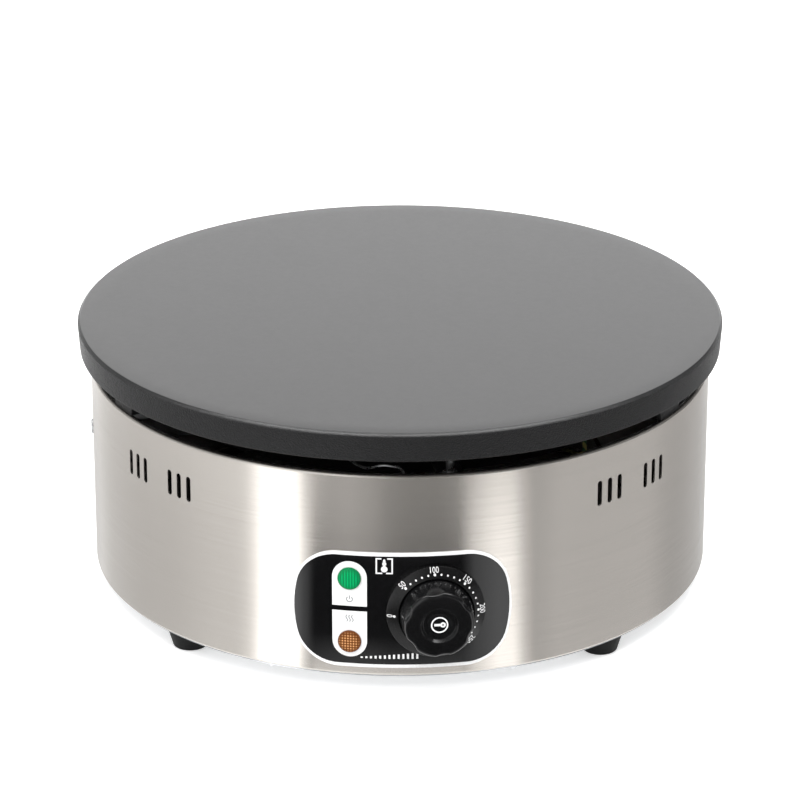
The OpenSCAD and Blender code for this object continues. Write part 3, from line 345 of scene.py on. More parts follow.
FLAT_WIDTH, ROLL, ROLL_ROWS, HALF_SIZE = 132.2, 0.25, (0.5, 1.0, math.pi / 2), 36
panel_half = PANEL_RADIUS * math.sin(FLAT_WIDTH / 2 / PANEL_RADIUS)
edge = lozenge(panel_half, 37.2, 77.2, 26.2)
inner_edge = lozenge(63.5, 35.0, 75.0, 24.0)
rings = [(edge * 0, DRUM_RADIUS + 0.02), (edge, DRUM_RADIUS + 0.02), (edge, PANEL_RADIUS - ROLL)]
rings += [(edge * (1 - ROLL * (1 - math.cos(t)) / HALF_SIZE), PANEL_RADIUS - ROLL * (1 - math.sin(t)))
          for t in ROLL_ROWS]
border_rows = len(rings)
rings += [(inner_edge * s, PANEL_RADIUS) for s in (1, *np.linspace(0.95, 0, 20))]
panel_shape = shell([bent(o, PANEL_AZ, PANEL_Z, r) for o, r in rings])
black = np.repeat(np.arange(len(rings) - 1) >= border_rows, len(edge))
panel = piece("panel", [panel_shape], "housing", ["control_panel"], zones=black)

# %% [markdown]
# ## Printing
# Marks on a panel are ink a few hundredths of a millimetre thick. Each is made as a thin closed slab that
# follows the surface under it, so its edge is as crisp as print at any distance. A slab is an outline
# shrunk towards its middle line, once on top and once below.

# %% Print helpers
def slab(outline, place, low, high, middle=None):
    """A closed slab over an outline of (x, y): its foot, its edge and its top, closed at the middle."""
    centre = outline.mean(0) if middle is None else np.asarray(middle, float)
    levels = [(0.0, low), (1.0, low)]
    levels += [(s, high) for s in (1.0, 0.98, 0.85, 0.7, 0.55, 0.4, 0.25, 0.1, 0.0)]
    return shell([place(centre + (outline - centre) * s, lift) for s, lift in levels])


def band(inner, outer, place, low, high):
    """A closed strip between two outlines with as many points: foot, outer edge, top and inner edge."""
    rows = [place(inner, low), place(outer, low), place(outer, high), place(inner, high), place(inner, low)]
    return solid(*grid_shape(np.stack(rows)))


def stroke(path, width, place, low, high):
    """A line of (x, y) points given a width, as a closed slab. Its long edges are the columns."""
    path = np.asarray(path, float)
    along = np.gradient(path, axis=0)
    along /= np.linalg.norm(along, axis=1, keepdims=True)
    side = np.stack([-along[:, 1], along[:, 0]], 1) * width / 2
    left, right = (np.concatenate([path[:1], path + way * side, path[-1:]]) for way in (1, -1))
    return solid(*grid_shape(np.stack(
        [place(left, low), place(left, high), place(right, high), place(right, low)], 1)))


def on_panel(azimuth, height):
    """A rule that lays (x, y) points on the panel about a centre, lifted by a little."""
    return lambda p, lift: bent(p, azimuth, height, PANEL_RADIUS + lift)


# %% [markdown]
# ## Marks on the panel
# Two white fields back the pilot lamps. Beside each lamp goes a plain sign: a ring with a bar for mains
# power, and three rising waves for heat. A thermometer between corner marks heads the dial, and a row
# of rising bars stands under it. None of them spells anything.

# %% Panel marks
def stadium_half(half_w, y_flat, y_round, count=24):
    """Half a stadium: square at y_flat, and a half circle of radius half_w whose far point is y_round."""
    way = math.copysign(1, y_round - y_flat)
    t = np.linspace(0, np.pi, count)
    arc = np.stack([half_w * np.cos(t), (y_round - way * half_w) + way * half_w * np.sin(t)], 1)
    flat = np.array([[0, y_flat], [half_w / 2, y_flat], [half_w, y_flat]])
    return np.concatenate([flat, arc, flat[:0:-1] * [-1, 1]])


INK, FIELD_INK, SIGN_INK = (0.0, 0.03), (0.0, 0.05), (0.04, 0.08)  # from where to where each lies
lamp_place = on_panel(LAMP_AZ, 56.5)
labels = [slab(stadium_half(10.35, way * 1.6, tip), lamp_place, *FIELD_INK, (0, way * 16))
          for way, tip in ((1, 30.4), (-1, -31.3))]
lamp_fields = piece("lamp_fields", labels, "housing")

sign = (0.45, lamp_place, *SIGN_INK)
wave = np.linspace(0, 1, 13)
open_ring = np.linspace(0.7 - math.pi, math.pi - 0.7, 25)
power_sign = [stroke(np.stack([1.75 * np.sin(open_ring), 6.0 - 1.75 * np.cos(open_ring)], 1), *sign),
              stroke([(0, 6.1), (0, 7.2), (0, 8.3)], *sign)]
heat_sign = [stroke(np.stack([x + 0.45 * np.sin(2 * np.pi * wave), -8.6 + 4.2 * wave], 1), *sign)
             for x in (-1.7, 0.0, 1.7)]
lamp_signs = piece("lamp_signs", power_sign + heat_sign, "housing")

thermo = on_panel(-1.34, 84.65)


def flat_bar(x0, x1, y0, y1, place):
    """A printed rectangle."""
    return slab(np.array([(x0, y0), (x1, y0), (x1, y1), (x0, y1)], float), place, *INK)


brackets = [flat_bar(*sorted((way * x0, way * x1)), y0, y1, thermo) for way in (-1, 1)
            for x0, x1, y0, y1 in ((4.2, 5.1, -5.1, 5.1), (1.7, 4.3, 4.2, 5.1), (1.1, 4.3, -5.1, -4.2))]
column = np.array([(-0.75, -0.6), (0.75, -0.6), (0.75, 3.4), (0.5, 4.1), (0.0, 4.4), (-0.5, 4.1),
                   (-0.75, 3.4)])
mercury = [slab(o, thermo, *INK) for o in (circle(1.95, 0, -2.0), circle(1.25, 0, 1.4), column)]
bars = [flat_bar(x - 0.62, x + 0.62, 0, 1.0 + 0.24 * k, on_panel(-0.45, 24.6))
        for k, x in enumerate(np.linspace(-16.4, 16.4, 13))]
panel_marks = piece("panel_marks", brackets + mercury + bars, "housing")

# %% [markdown]
# ## The pilot lamps
# A pilot lamp is a coloured lens with a low domed front. It sits on the bent panel, so its foot follows
# the panel's curve: the distance of the foot changes round the lens.

# %% Pilot lamps
def lens_shape(height, r=7.0, top=194.9):
    """A domed front, a rounded shoulder and a side that ends on the panel, closed by a foot on it."""
    front = rounded([(0, top + 0.25), (r - 1.5, top + 0.12), (r - 0.1, top - 0.35), (r, top - 1.2)],
                    [0, 3, 0.8, 0])
    foot = [(q, lambda x: on_cylinder(x, PANEL_RADIUS + 0.035)) for q in (r, r * 0.5, 0.0)]
    return shell([loop(LAMP_AZ, height, q, d, 96) for q, d in (*front, *foot)])


power_lamp = piece("power_lamp", [lens_shape(LAMP_Z[1])], "housing", ["power_lens"])
heat_lamp = piece("heat_lamp", [lens_shape(LAMP_Z[0])], "housing", ["heat_lens"])

# %% [markdown]
# ## The dial ring
# The ring round the knob doesn't turn. Its face slopes outwards like a shallow cone, so that the scale
# can be read from above, and a round well takes the knob. Its side runs down to the bent panel.

# %% Dial ring
RING_R, WELL_R, FACE_IN, FACE_OUT = 29.25, 22.2, 199.2, 195.5


def dial_face(r):
    """The cone: the distance falls evenly from FACE_IN at the well's edge to FACE_OUT at the rim."""
    return FACE_IN - (np.asarray(r) - WELL_R) / (RING_R - WELL_R) * (FACE_IN - FACE_OUT)


HOLE_R, WELL_FLOOR = 5.5, 194.2
ring_front = rounded([(HOLE_R, 193.4), (HOLE_R, WELL_FLOOR), (WELL_R, WELL_FLOOR), (WELL_R, FACE_IN),
                      (RING_R, FACE_OUT), (RING_R, 194.6)], [0, 0.3, 0.5, 0.5, 0.6, 0])
ring_back = [(r, lambda x: on_cylinder(x, PANEL_RADIUS + 0.01)) for r in (RING_R, 18.0, HOLE_R)]
ring_rows = [loop(DIAL_AZ, DIAL_Z, r, d, 240) for r, d in (*ring_front, *ring_back, ring_front[0])]
dial = piece("dial", [solid(*grid_shape(np.stack(ring_rows)))], "housing", ["dial_ring"])

# %% [markdown]
# ## The scale
# The scale runs clockwise from 0 on the left to 250 on the lower right. There is a dot every 10 degrees
# from 50 up, and a bigger one at each 50. A number is a text outline made into a mesh, turned to follow
# the circle, and then laid on the cone by giving every vertex the distance of the face under it.

# %% Scale
DOTS_R, NARROW = 24.9, 0.86


def scale_angle(value):
    """Degrees clockwise from the top: 91.7 to the left at 0, and 44.7 more for each 50 on the scale."""
    return -91.7 + 0.894 * value


def on_dial(p, lift):
    """Lays (x, y) points on the cone."""
    x, y = p[..., 0], p[..., 1]
    return outward(DIAL_AZ, DIAL_Z, x, y, dial_face(np.hypot(x, y)) + lift)


def number_shape(value, radius=27.5, height=3.3):
    """The digits of a number as a thin closed mesh, its middle at that radius of the dial."""
    text = bpy.data.curves.new("digits", "FONT")
    text.body, text.size, text.extrude, text.resolution_u = str(value), 1.0, 0.01, 3
    text.align_x = "CENTER"
    holder = placed("digits", text)
    raw = holder.to_mesh()
    p = np.empty(len(raw.vertices) * 3)
    raw.vertices.foreach_get("co", p)
    p = p.reshape(-1, 3)
    faces = [tuple(f.vertices) for f in raw.polygons]
    holder.to_mesh_clear()
    bpy.data.objects.remove(holder)
    bpy.data.curves.remove(text)
    low, high = p.min(0), p.max(0)
    flat = (p[:, :2] - (low[:2] + high[:2]) / 2) * height / (high[1] - low[1]) * [NARROW, 1]
    a = math.radians(scale_angle(value))
    flat[:, 1] += radius
    flat = np.stack([flat[:, 0] * math.cos(a) + flat[:, 1] * math.sin(a),
                     -flat[:, 0] * math.sin(a) + flat[:, 1] * math.cos(a)], 1)
    return on_dial(flat, np.where(p[:, 2] > 0, INK[1], INK[0])), faces


def dot(value):
    """A dot at that value of the scale, a third wider at each 50."""
    a = math.radians(scale_angle(value))
    r = 0.75 if value % 50 == 0 else 0.56
    return slab(circle(r, DOTS_R * math.sin(a), DOTS_R * math.cos(a), 24), on_dial, *INK)


dots = [dot(value) for value in (0, *range(50, 251, 10))]
dots_piece = piece("scale_dots", dots, "housing")

number_points, number_faces, first = [], [], 0
for value in range(0, 251, 50):
    p, f = number_shape(value)
    number_points.append(p)
    number_faces += [tuple(first + k for k in face) for face in f]
    first += len(p)
mesh = bpy.data.meshes.new("scale_numbers")
mesh.from_pydata((np.concatenate(number_points) * MM).tolist(), [], number_faces)
scale_numbers = placed("scale_numbers", mesh)
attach(scale_numbers, "housing")
print("scale:", len(dots), "dots and the numbers 0 to 250")

# %% [markdown]
# ## The knob
# The knob is a moulded cap with a thin skirt, six finger scallops and a dished face. One formula gives
# its side: at each height and angle the radius is the smaller of the tapering body and the scallop, and
# the two are blended softly where they meet, so that the ridges between scallops are round. A scallop is
# a round groove that leans outwards, and so runs out just above the skirt.

# %% Knob
KNOB_LOW, KNOB_TOP, KNOB_R, KNOB_FACE_R = 197.3, 215.13, 21.8, 20.6
SKIRT, SCALLOP_R, SCALLOP_DEPTH, EDGE_R, TURN = 2.6, 13.0, 1.5, 2.2, -7
BLEND, GROOVE_EDGE_R, NO_GROOVE, DISH_EDGE, CAP_TOP = 0.7, EDGE_R - 0.6, 99.0, 12.6, 213.81


def drawn_in(depth, radius):
    """How far a rounded edge draws in at a depth: radius - sqrt(radius^2 - (radius - depth)^2)."""
    gap = np.clip(radius - depth, 0, radius)
    return radius - np.sqrt(radius**2 - gap**2)


def knob_radius(d, angle):
    """The smaller of body and scallop, blended over BLEND. Angle 0 is the top scallop's middle."""
    below = KNOB_TOP - d
    run = KNOB_TOP - KNOB_LOW - SKIRT
    taper = KNOB_FACE_R + (KNOB_R - KNOB_FACE_R) * below / run
    body = np.where(below > run, KNOB_R, taper) - drawn_in(below, EDGE_R)
    centre = KNOB_FACE_R - SCALLOP_DEPTH + SCALLOP_R + (SCALLOP_DEPTH + KNOB_R - KNOB_FACE_R) * below / run
    off = (angle + 30) % 60 - 30
    reach = SCALLOP_R**2 - (centre * np.sin(np.radians(off))) ** 2
    groove = centre * np.cos(np.radians(off)) - np.sqrt(np.maximum(reach, 0))
    groove = np.where(reach > 0, groove, NO_GROOVE) - drawn_in(below, GROOVE_EDGE_R)
    h = np.clip(0.5 + 0.5 * (groove - body) / BLEND, 0, 1)
    return groove * (1 - h) + body * h - BLEND * h * (1 - h)


angles = np.linspace(0, 360, 480, endpoint=False)[None, :]
side_d = KNOB_TOP - np.concatenate([EDGE_R * (1 - np.cos(np.linspace(0, np.pi / 2, 14))),
                                    np.linspace(2.6, 15.0, 24), [15.2, 15.3, 15.45, 16.0, 17.0, 17.5]])
side_r = knob_radius(side_d[:, None], angles)
rim_r = side_r[0]


def knob_row(r, d):
    """A row of points at radius r (a number or one for each angle), the top scallop turned a little left."""
    t = np.radians(90 - TURN - angles[0])
    return outward(DIAL_AZ, DIAL_Z, r * np.cos(t), r * np.sin(t), d + 0 * t)


DISH_LOW, BORE_R, BORE_TOP = 213.15, 3.06, 209.7
dish = rounded([(0, DISH_LOW), (9.6, DISH_LOW), (11.05, KNOB_TOP), (DISH_EDGE, KNOB_TOP)], [0, 0.5, 0.3, 0])
face = [(DISH_EDGE + (rim_r - DISH_EDGE) * s, KNOB_TOP) for s in np.linspace(0.1, 0.97, 14)]
foot = rounded([(KNOB_R, 197.7), (KNOB_R, KNOB_LOW), (BORE_R, KNOB_LOW), (BORE_R, BORE_TOP), (0, BORE_TOP)],
               [0, 0.25, 0, 0, 0])
knob_shape = shell([knob_row(r, d) for r, d in (*dish, *face, *zip(side_r, side_d), *foot)])
knob = piece("knob_body", [knob_shape], "knob", ["knob"], sharp=50)

cap_profile = rounded([(0, 212.9), (7.35, 212.9), (7.35, 213.75), (0, 213.82)], [0, 0.1, 0.25, 0])
cap_shape = shell([loop(DIAL_AZ, DIAL_Z, r, d, 120) for r, d in cap_profile])
cap = piece("knob_centre", [cap_shape], "knob", ["knob_cap"])


def on_cap(p, lift):
    """Lays (x, y) points on the cap's flat face."""
    return outward(DIAL_AZ, DIAL_Z, p[..., 0], p[..., 1], CAP_TOP + lift)


cap_marks = [band(circle(4.25, count=96), circle(5.1, count=96), on_cap, 0.0, 0.035),
             band(circle(0.55, 2.0, count=32), circle(1.65, 2.0, count=32), on_cap, 0.0, 0.035),
             stroke([(-3.1, 0), (-1.0, 0), (0.8, 0)], 1.5, on_cap, *INK)]
knob_mark = piece("knob_mark", cap_marks, "knob")

# %% [markdown]
# ## Nodes
# Materials and the world are both node trees, so the same few helpers build them. An input is given as a
# constant or as the output of another node, and the helper does the wiring.

# %% Node helpers
def feed(owner, socket, value):
    """Wires an output into a socket, or sets the socket to a constant."""
    if isinstance(value, bpy.types.NodeSocket):
        owner.node_tree.links.new(value, socket)
    else:
        socket.default_value = value


def add(owner, kind, inputs=None, **settings):
    """Adds a node to a material or a world, with its own settings, and feeds its inputs."""
    made = owner.node_tree.nodes.new(kind)
    for key, value in settings.items():
        setattr(made, key, value)
    for key, value in (inputs or {}).items():
        feed(owner, made.inputs[key], value)
    return made


def maths(owner, operation, first, second=0.0):
    """One step of arithmetic on two numbers, each an output or a constant."""
    return add(owner, "ShaderNodeMath", {0: first, 1: second}, operation=operation).outputs["Value"]


def span(owner, value, low, high, to_low=0.0, to_high=1.0, kind="LINEAR"):
    """Goes from to_low to to_high as the value goes from low to high, and stays there beyond."""
    ends = {"From Min": low, "From Max": high, "To Min": to_low, "To Max": to_high}
    made = add(owner, "ShaderNodeMapRange", {"Value": value, **ends}, interpolation_type=kind)
    return made.outputs["Result"]


def mixed(owner, factor, first, second, blend="MIX"):
    """Two colours mixed or multiplied by a factor. The node's colour sockets are found by their type."""
    made = add(owner, "ShaderNodeMix", {"Factor": factor}, data_type="RGBA", blend_type=blend)
    for socket, value in zip([i for i in made.inputs if i.type == "RGBA"], (first, second)):
        feed(owner, socket, value)
    return next(o for o in made.outputs if o.type == "RGBA")


# %% [markdown]
# ## Finishes
# Every finish is a Principled shader whose colour, roughness and relief vary a little, because nothing
# real is perfectly even. The patterns are noise in the piece's own coordinates, in metres, so that they
# keep their scale on every piece. Numbers that are the same all over are set on the shader itself.

# %% Finish helpers
def sockets_of(material):
    """The inputs of the material's Principled shader."""
    return material.node_tree.nodes["Principled BSDF"].inputs


def finish(name, colour, roughness, **sockets):
    """A Principled finish with its constants on the shader's own sockets."""
    material = bpy.data.materials.new(name)
    material.use_nodes = True
    for key, value in {"Base Color": (*colour, 1), "Roughness": roughness, **sockets}.items():
        sockets_of(material)[key.replace("_", " ")].default_value = value
    return material


def own_place(material):
    """The place on the piece, in metres."""
    return add(material, "ShaderNodeTexCoord").outputs["Object"]


def noise(material, scale, stretch=(1, 1, 1), detail=3.0, rough=0.5):
    """Noise from 0 to 1 over the piece's own coordinates. Scale is in bumps to the metre."""
    mapping = add(material, "ShaderNodeMapping", {"Vector": own_place(material), "Scale": stretch})
    inputs = {"Vector": mapping.outputs["Vector"], "Scale": scale, "Detail": detail, "Roughness": rough}
    return add(material, "ShaderNodeTexNoise", inputs).outputs["Fac"]


def tone(material, factor, dark, light, low=0.3, high=0.7):
    """The colour runs from dark to light as the factor goes from low to high."""
    ramp = add(material, "ShaderNodeValToRGB", {"Fac": factor})
    for stop, position, colour in zip(ramp.color_ramp.elements, (low, high), (dark, light)):
        stop.position, stop.color = position, (*colour, 1)
    feed(material, sockets_of(material)["Base Color"], ramp.outputs["Color"])
    return ramp.outputs["Color"]


def shine(material, factor, low, high):
    """The roughness runs from low to high with the factor."""
    feed(material, sockets_of(material)["Roughness"], span(material, factor, 0.3, 0.7, low, high))


def relief(material, factor, distance, strength=1.0):
    """Raises the surface by up to distance metres where the factor is high."""
    bump = add(material, "ShaderNodeBump", {"Strength": strength, "Distance": distance, "Height": factor})
    feed(material, sockets_of(material)["Normal"], bump.outputs["Normal"])


def dress(thing, *materials):
    """Puts materials into the object's slots in order, in place of what it came with."""
    slots = thing.data.materials
    for number, material in enumerate(materials):
        if number < len(slots):
            slots[number] = material
        else:
            slots.append(material)


# %% [markdown]
# ## Cast iron
# The cooking surface is ground and seasoned: dark, satin, almost even. The rim keeps the fine pebbled
# skin of the casting under its coating. Both are one material here. The relief is noise about a
# millimetre across, and it fades out above the chamfer, where the surface was ground. The ground face
# also shines a little more.

# %% Cast iron
CHAMFER_FOOT, CHAMFER_TOP, ABOVE = 0.1685, 0.1705, 0.1708
iron = finish("cast_iron", (0.007, 0.007, 0.0075), 0.3, IOR=1.7)
tone(iron, noise(iron, 22, detail=4), (0.0065, 0.0065, 0.007), (0.008, 0.008, 0.0085))
level = add(iron, "ShaderNodeSeparateXYZ", {"Vector": own_place(iron)}).outputs["Z"]
as_cast = span(iron, level, CHAMFER_FOOT, CHAMFER_TOP, 1.0, 0.03)
relief(iron, maths(iron, "MULTIPLY", noise(iron, 1000, detail=3, rough=0.6), as_cast), 0.0010)
shine(iron, noise(iron, 260, detail=3), 0.29, 0.32)
feed(iron, sockets_of(iron)["Specular IOR Level"], span(iron, level, CHAMFER_FOOT, ABOVE, 0.17, 0.52))
dress(plate, iron)

# %% [markdown]
# ## Brushed stainless steel
# The drum's sheet was brushed along its length, so its scratches run round the drum. They are noise that
# is stretched far along the circumference and fine in height. Scratches blur a reflection across
# themselves, so highlights grow into upright bands: the shader's anisotropy does that, with a tangent
# that runs round the drum and is turned a quarter. Inside the drum, under the plate, the steel's colour is
# multiplied by a number that falls with the distance from the axis: this is painted shade.

# %% Stainless steel
# The last number darkens the steel's colour inside the drum, as painted shade under the plate.
HEM_INSIDE, SKIN_INSIDE, INSIDE_SHADE = 0.1885, 0.1918, 0.12
brushed = finish("brushed_steel", (0.615, 0.58, 0.54), 0.21, Metallic=1.0, Anisotropic=1.0,
                 Anisotropic_Rotation=0.25)
around = add(brushed, "ShaderNodeTangent", direction_type="RADIAL", axis="Z")
feed(brushed, sockets_of(brushed)["Tangent"], around.outputs["Tangent"])
scratches = noise(brushed, 1.0, (7, 7, 1300), detail=6, rough=0.65)
bare = tone(brushed, scratches, (0.595, 0.56, 0.52), (0.635, 0.60, 0.56), 0.25, 0.75)
shine(brushed, noise(brushed, 1.0, (12, 12, 900), detail=4), 0.19, 0.24)
relief(brushed, scratches, 0.000008, 0.4)
flat = add(brushed, "ShaderNodeVectorMath", {0: own_place(brushed), 1: (1, 1, 0)}, operation="MULTIPLY")
radius = add(brushed, "ShaderNodeVectorMath", {0: flat.outputs["Vector"]}, operation="LENGTH")
# Painted shade: the colour falls inside the drum, where the plate shadows the sheet.
painted_inside_shade = span(brushed, radius.outputs["Value"], HEM_INSIDE, SKIN_INSIDE, INSIDE_SHADE, 1.0)
feed(brushed, sockets_of(brushed)["Base Color"], mixed(brushed, 1.0, bare, painted_inside_shade, "MULTIPLY"))

# %% [markdown]
# ## The other finishes
# One function makes them all: plated or galvanised steel, coloured metals, plastics, rubber, ceramic
# and woven sleeves. They differ in the scale of the noise and in how strongly it shows. Each is kept
# under the name that the record gives to that finish, and the inks and the panel's border come after.

# %% Other finishes
def mottled(name, colour, roughness, scale, spread=0.12, depth=0.0, rough_spread=0.08, **sockets):
    """Colour and roughness vary by their spreads over noise of that scale, with an optional relief."""
    made = finish(name, colour, roughness, **sockets)
    fine = noise(made, scale, detail=4)
    c = np.array(colour)
    tone(made, fine, tuple(c * (1 - spread)), tuple(np.minimum(c * (1 + spread), 1)))
    shine(made, fine, max(roughness - rough_spread, 0.02), roughness + rough_spread)
    if depth:
        relief(made, fine, depth)
    return made


METAL, SLIGHT = {"Metallic": 1.0}, {"rough_spread": 0.02}
finishes = {
    "cast_iron": iron,
    "stainless": brushed,
    "plated_steel": mottled("plated_steel", (0.62, 0.63, 0.64), 0.3, 300, 0.08, 0.00002, **METAL),
    "galvanised": mottled("galvanised", (0.50, 0.51, 0.52), 0.42, 90, 0.14, 0.00002, **METAL),
    "spring_steel": mottled("spring_steel", (0.68, 0.68, 0.70), 0.18, 400, 0.05, **METAL),
    "copper": mottled("copper", (0.74, 0.40, 0.25), 0.32, 250, 0.15, 0.00001, **METAL),
    "brass": mottled("brass", (0.62, 0.44, 0.17), 0.34, 250, 0.12, 0.00001, **METAL),
    "sheath": mottled("sheath", (0.24, 0.23, 0.22), 0.5, 350, 0.2, 0.00004, Metallic=0.8),
    # Dark enamel for the parts inside, kept near black partly as painted shade under the plate.
    "dark_steel": mottled("dark_enamel_and_painted_shade", (0.014, 0.014, 0.015), 0.5, 500, 0.2, 0.00003),
    "ceramic": mottled("ceramic", (0.80, 0.77, 0.70), 0.55, 600, 0.06, 0.00003),
    "insulation": mottled("ceramic_fibre", (0.80, 0.78, 0.72), 0.95, 900, 0.12, 0.0006),
    "foot_rubber": mottled("rubber", (0.007, 0.007, 0.007), 0.6, 700, 0.2, 0.00005, Specular_IOR_Level=0.15),
    "black_plastic": mottled("black_plastic", (0.022, 0.022, 0.023), 0.42, 900, 0.15, 0.00003),
    "dial_plastic": mottled("dial_plastic", (0.005, 0.005, 0.0052), 0.24, 1400, 0.2, 0.00005,
                            rough_spread=0.04, Specular_IOR_Level=0.3),
    "knob_plastic": mottled("gloss_black", (0.003, 0.003, 0.0034), 0.2, 60, 0.2, **SLIGHT),
    "panel_black": mottled("panel_field", (0.003, 0.003, 0.0034), 0.08, 40, 0.2, **SLIGHT),
    "power_wire": mottled("power_sleeve", (0.09, 0.035, 0.02), 0.7, 1100, 0.2, 0.00008),
    "lamp_wire": mottled("lamp_sleeve", (0.06, 0.065, 0.14), 0.7, 1100, 0.2, 0.00008)}
ink_white = mottled("ink_white", (0.88, 0.88, 0.88), 0.35, 200, 0.02)
ink_grey = mottled("ink_grey", (0.16, 0.16, 0.17), 0.35, 200, 0.1)

# %% [markdown]
# ## The earth lead
# The earth lead is green with a yellow stripe. The stripe is a wave that climbs with height, where the
# lead stands upright behind the gap, so that it winds round it.

# %% Earth lead's finish
earth = finish("earth_sleeve", (0.2, 0.4, 0.03), 0.45)
stripe = add(earth, "ShaderNodeTexWave", {"Vector": own_place(earth), "Scale": 90.0, "Distortion": 1.5,
                                          "Detail": 1.0}, bands_direction="DIAGONAL")
tone(earth, stripe.outputs["Fac"], (0.03, 0.10, 0.03), (0.30, 0.28, 0.09), 0.45, 0.55)
finishes["earth_wire"] = earth

# %% [markdown]
# ## Lamp lenses
# The green lens is ribbed inside and the amber one is waffled. The moulded pattern glows through the
# clear plastic, so it is given as colour as well as relief. The height of the ribs is a wave across the
# lens, and the waffle is the product of two waves. Towards the rim the colour is darkened: painted shade
# of the domed lens.

# %% Lamp lenses
LENS_CLEAR, LENS_RIM, RIBS = 0.0042, 0.0066, 190.0


def lens_finish(name, deep, bright, height, waffle):
    """Colour from deep to bright over a moulded wave pattern, with painted shade that darkens it towards the
    rim.
    """
    made = finish(name, bright, 0.16, Specular_IOR_Level=0.18)
    middle = outward(LAMP_AZ, height, 0, 0, 194.0) * MM
    place = add(made, "ShaderNodeMapping", {"Vector": own_place(made), "Location": tuple(-middle)}).outputs[0]

    def wave(direction):
        inputs = {"Vector": place, "Scale": RIBS, "Distortion": 0.0}
        return add(made, "ShaderNodeTexWave", inputs, bands_direction=direction).outputs["Fac"]

    pattern = maths(made, "MULTIPLY", wave("X"), wave("Z")) if waffle else wave("X")
    length = add(made, "ShaderNodeVectorMath", {0: place}, operation="LENGTH").outputs["Value"]
    # Painted shade: the colour falls towards the lens's rim.
    lit = maths(made, "MULTIPLY", pattern, span(made, length, LENS_CLEAR, LENS_RIM, 1.0, 0.1))
    tone(made, lit, deep, bright, 0.0, 1.0)
    relief(made, pattern, 0.0002, 0.6)
    return made


green = lens_finish("green_lens", (0.0, 0.18, 0.055), (0.0, 0.42, 0.13), LAMP_Z[1], False)
amber = lens_finish("amber_lens", (0.12, 0.033, 0.006), (0.88, 0.43, 0.17), LAMP_Z[0], True)
finishes.update(green_lens=green, amber_lens=amber)

# %% [markdown]
# ## Dressing every node
# The record names a finish for each CAD node, and the node takes the material kept under that name. The
# new pieces follow. The panel has two materials: white for its border and black for the field inside.

# %% Dress the nodes
slots = {part["node"]: part["material_slot"] for part in frame["record"]["subparts"]}
for name, thing in frame["nodes"].items():
    dress(thing, finishes[slots[name]])
for coat, things in ((brushed, [drum]), (green, [power_lamp]), (amber, [heat_lamp]), (ink_grey, [lamp_signs]),
                     (finishes["dial_plastic"], [dial]), (finishes["knob_plastic"], [knob, cap]),
                     (ink_white, [lamp_fields, panel_marks, dots_piece, scale_numbers, knob_mark])):
    for thing in things:
        dress(thing, coat)
dress(panel, ink_white, finishes["panel_black"])
print("finishes:", len(finishes), "for", len(slots), "nodes")

# %% [markdown]
# ## Floor
# The floor is a plain pale sheet. Seen by the camera, or mirrored in metal, it is a little brighter than
# its colour, which makes it white, and it still takes the object's soft shadow.

# %% Floor
FLOOR_HALF, FLOOR_GLOW = 6, 0.5
floor_mesh = bpy.data.meshes.new("floor")
floor_mesh.from_pydata([(x * FLOOR_HALF, y * FLOOR_HALF, 0) for x, y in ((-1, -1), (1, -1), (1, 1), (-1, 1))],
                       [], [(0, 1, 2, 3)])
floor = placed("floor", floor_mesh)
paper = finish("paper", (0.86, 0.86, 0.86), 0.9, Specular_IOR_Level=0.0)
rays = add(paper, "ShaderNodeLightPath").outputs
seen = rays["Is Camera Ray"]
for kind in ("Is Glossy Ray", "Is Transmission Ray"):
    seen = maths(paper, "MAXIMUM", seen, rays[kind])


def glowing(owner, colour, strength):
    """The shader of a surface that gives light of its own."""
    return add(owner, "ShaderNodeEmission", {"Color": colour, "Strength": strength}).outputs["Emission"]


glow = glowing(paper, (1, 1, 1, 1), maths(paper, "MULTIPLY", seen, FLOOR_GLOW))
nodes = paper.node_tree.nodes
both = add(paper, "ShaderNodeAddShader", {0: nodes["Principled BSDF"].outputs["BSDF"], 1: glow})
feed(paper, nodes["Material Output"].inputs["Surface"], both.outputs["Shader"])
dress(floor, paper)

# %% [markdown]
# ## Studio cards
# Metal shows what stands round it. The camera looks down on the drum, so the drum mirrors the floor in
# front of it, and a studio lays cards of different greys there to draw upright bands on the steel. A far
# camera's ray that meets the drum at azimuth f leaves it towards azimuth 2f, so the band at f needs a
# card whose sides run from the drum in those directions. The cards are seen in reflections only.
#
# A table gives the level of the cards near the drum at each azimuth, another that of the cards further
# out, which the upper part of the drum mirrors. In the middle, in front of the panel, the near cards start
# bright, are dark for a stretch, and end as the table says.

# %% Studio cards
CARDS = np.array([
    (-88, 0.8), (-82, 0.85), (-76, 1.0), (-70, 0.84), (-63, 0.78), (-56, 0.74), (-46, 0.77), (-36, 0.9),
    (-31, 0.92), (-28.6, 1.1), (-27, 1.6), (-25.8, 2.4), (-19, 2.4), (-17.4, 1.1), (-15.4, 0.55), (-12, 0.75),
    (-9, 0.93), (-5, 0.83), (-2, 0.56), (1, 0.56), (7, 0.52), (10.5, 0.65), (12.5, 1.0), (15, 1.4),
    (18, 1.85), (21, 1.8), (23, 1.0), (25, 0.6), (30, 0.70), (52, 0.70), (60, 0.55), (66, 0.57), (70, 0.62),
    (76, 0.66), (80, 0.77), (88, 0.7)])
FAR_CARDS = np.array([
    (-88, 1.5), (-76, 1.2), (-70, 1.0), (-63, 0.9), (-56, 0.9), (-46, 0.98), (-36, 1.1), (-28.5, 1.2),
    (-26, 2.2), (-19, 2.2), (-17, 0.7), (-12, 0.3), (-3, 0.22), (1, 0.2), (7, 0.2), (10.5, 0.25), (15, 0.7),
    (20, 0.8), (25, 0.5), (30, 0.68), (52, 0.68), (61, 0.56), (70, 0.62), (76, 0.76), (88, 1.0)])
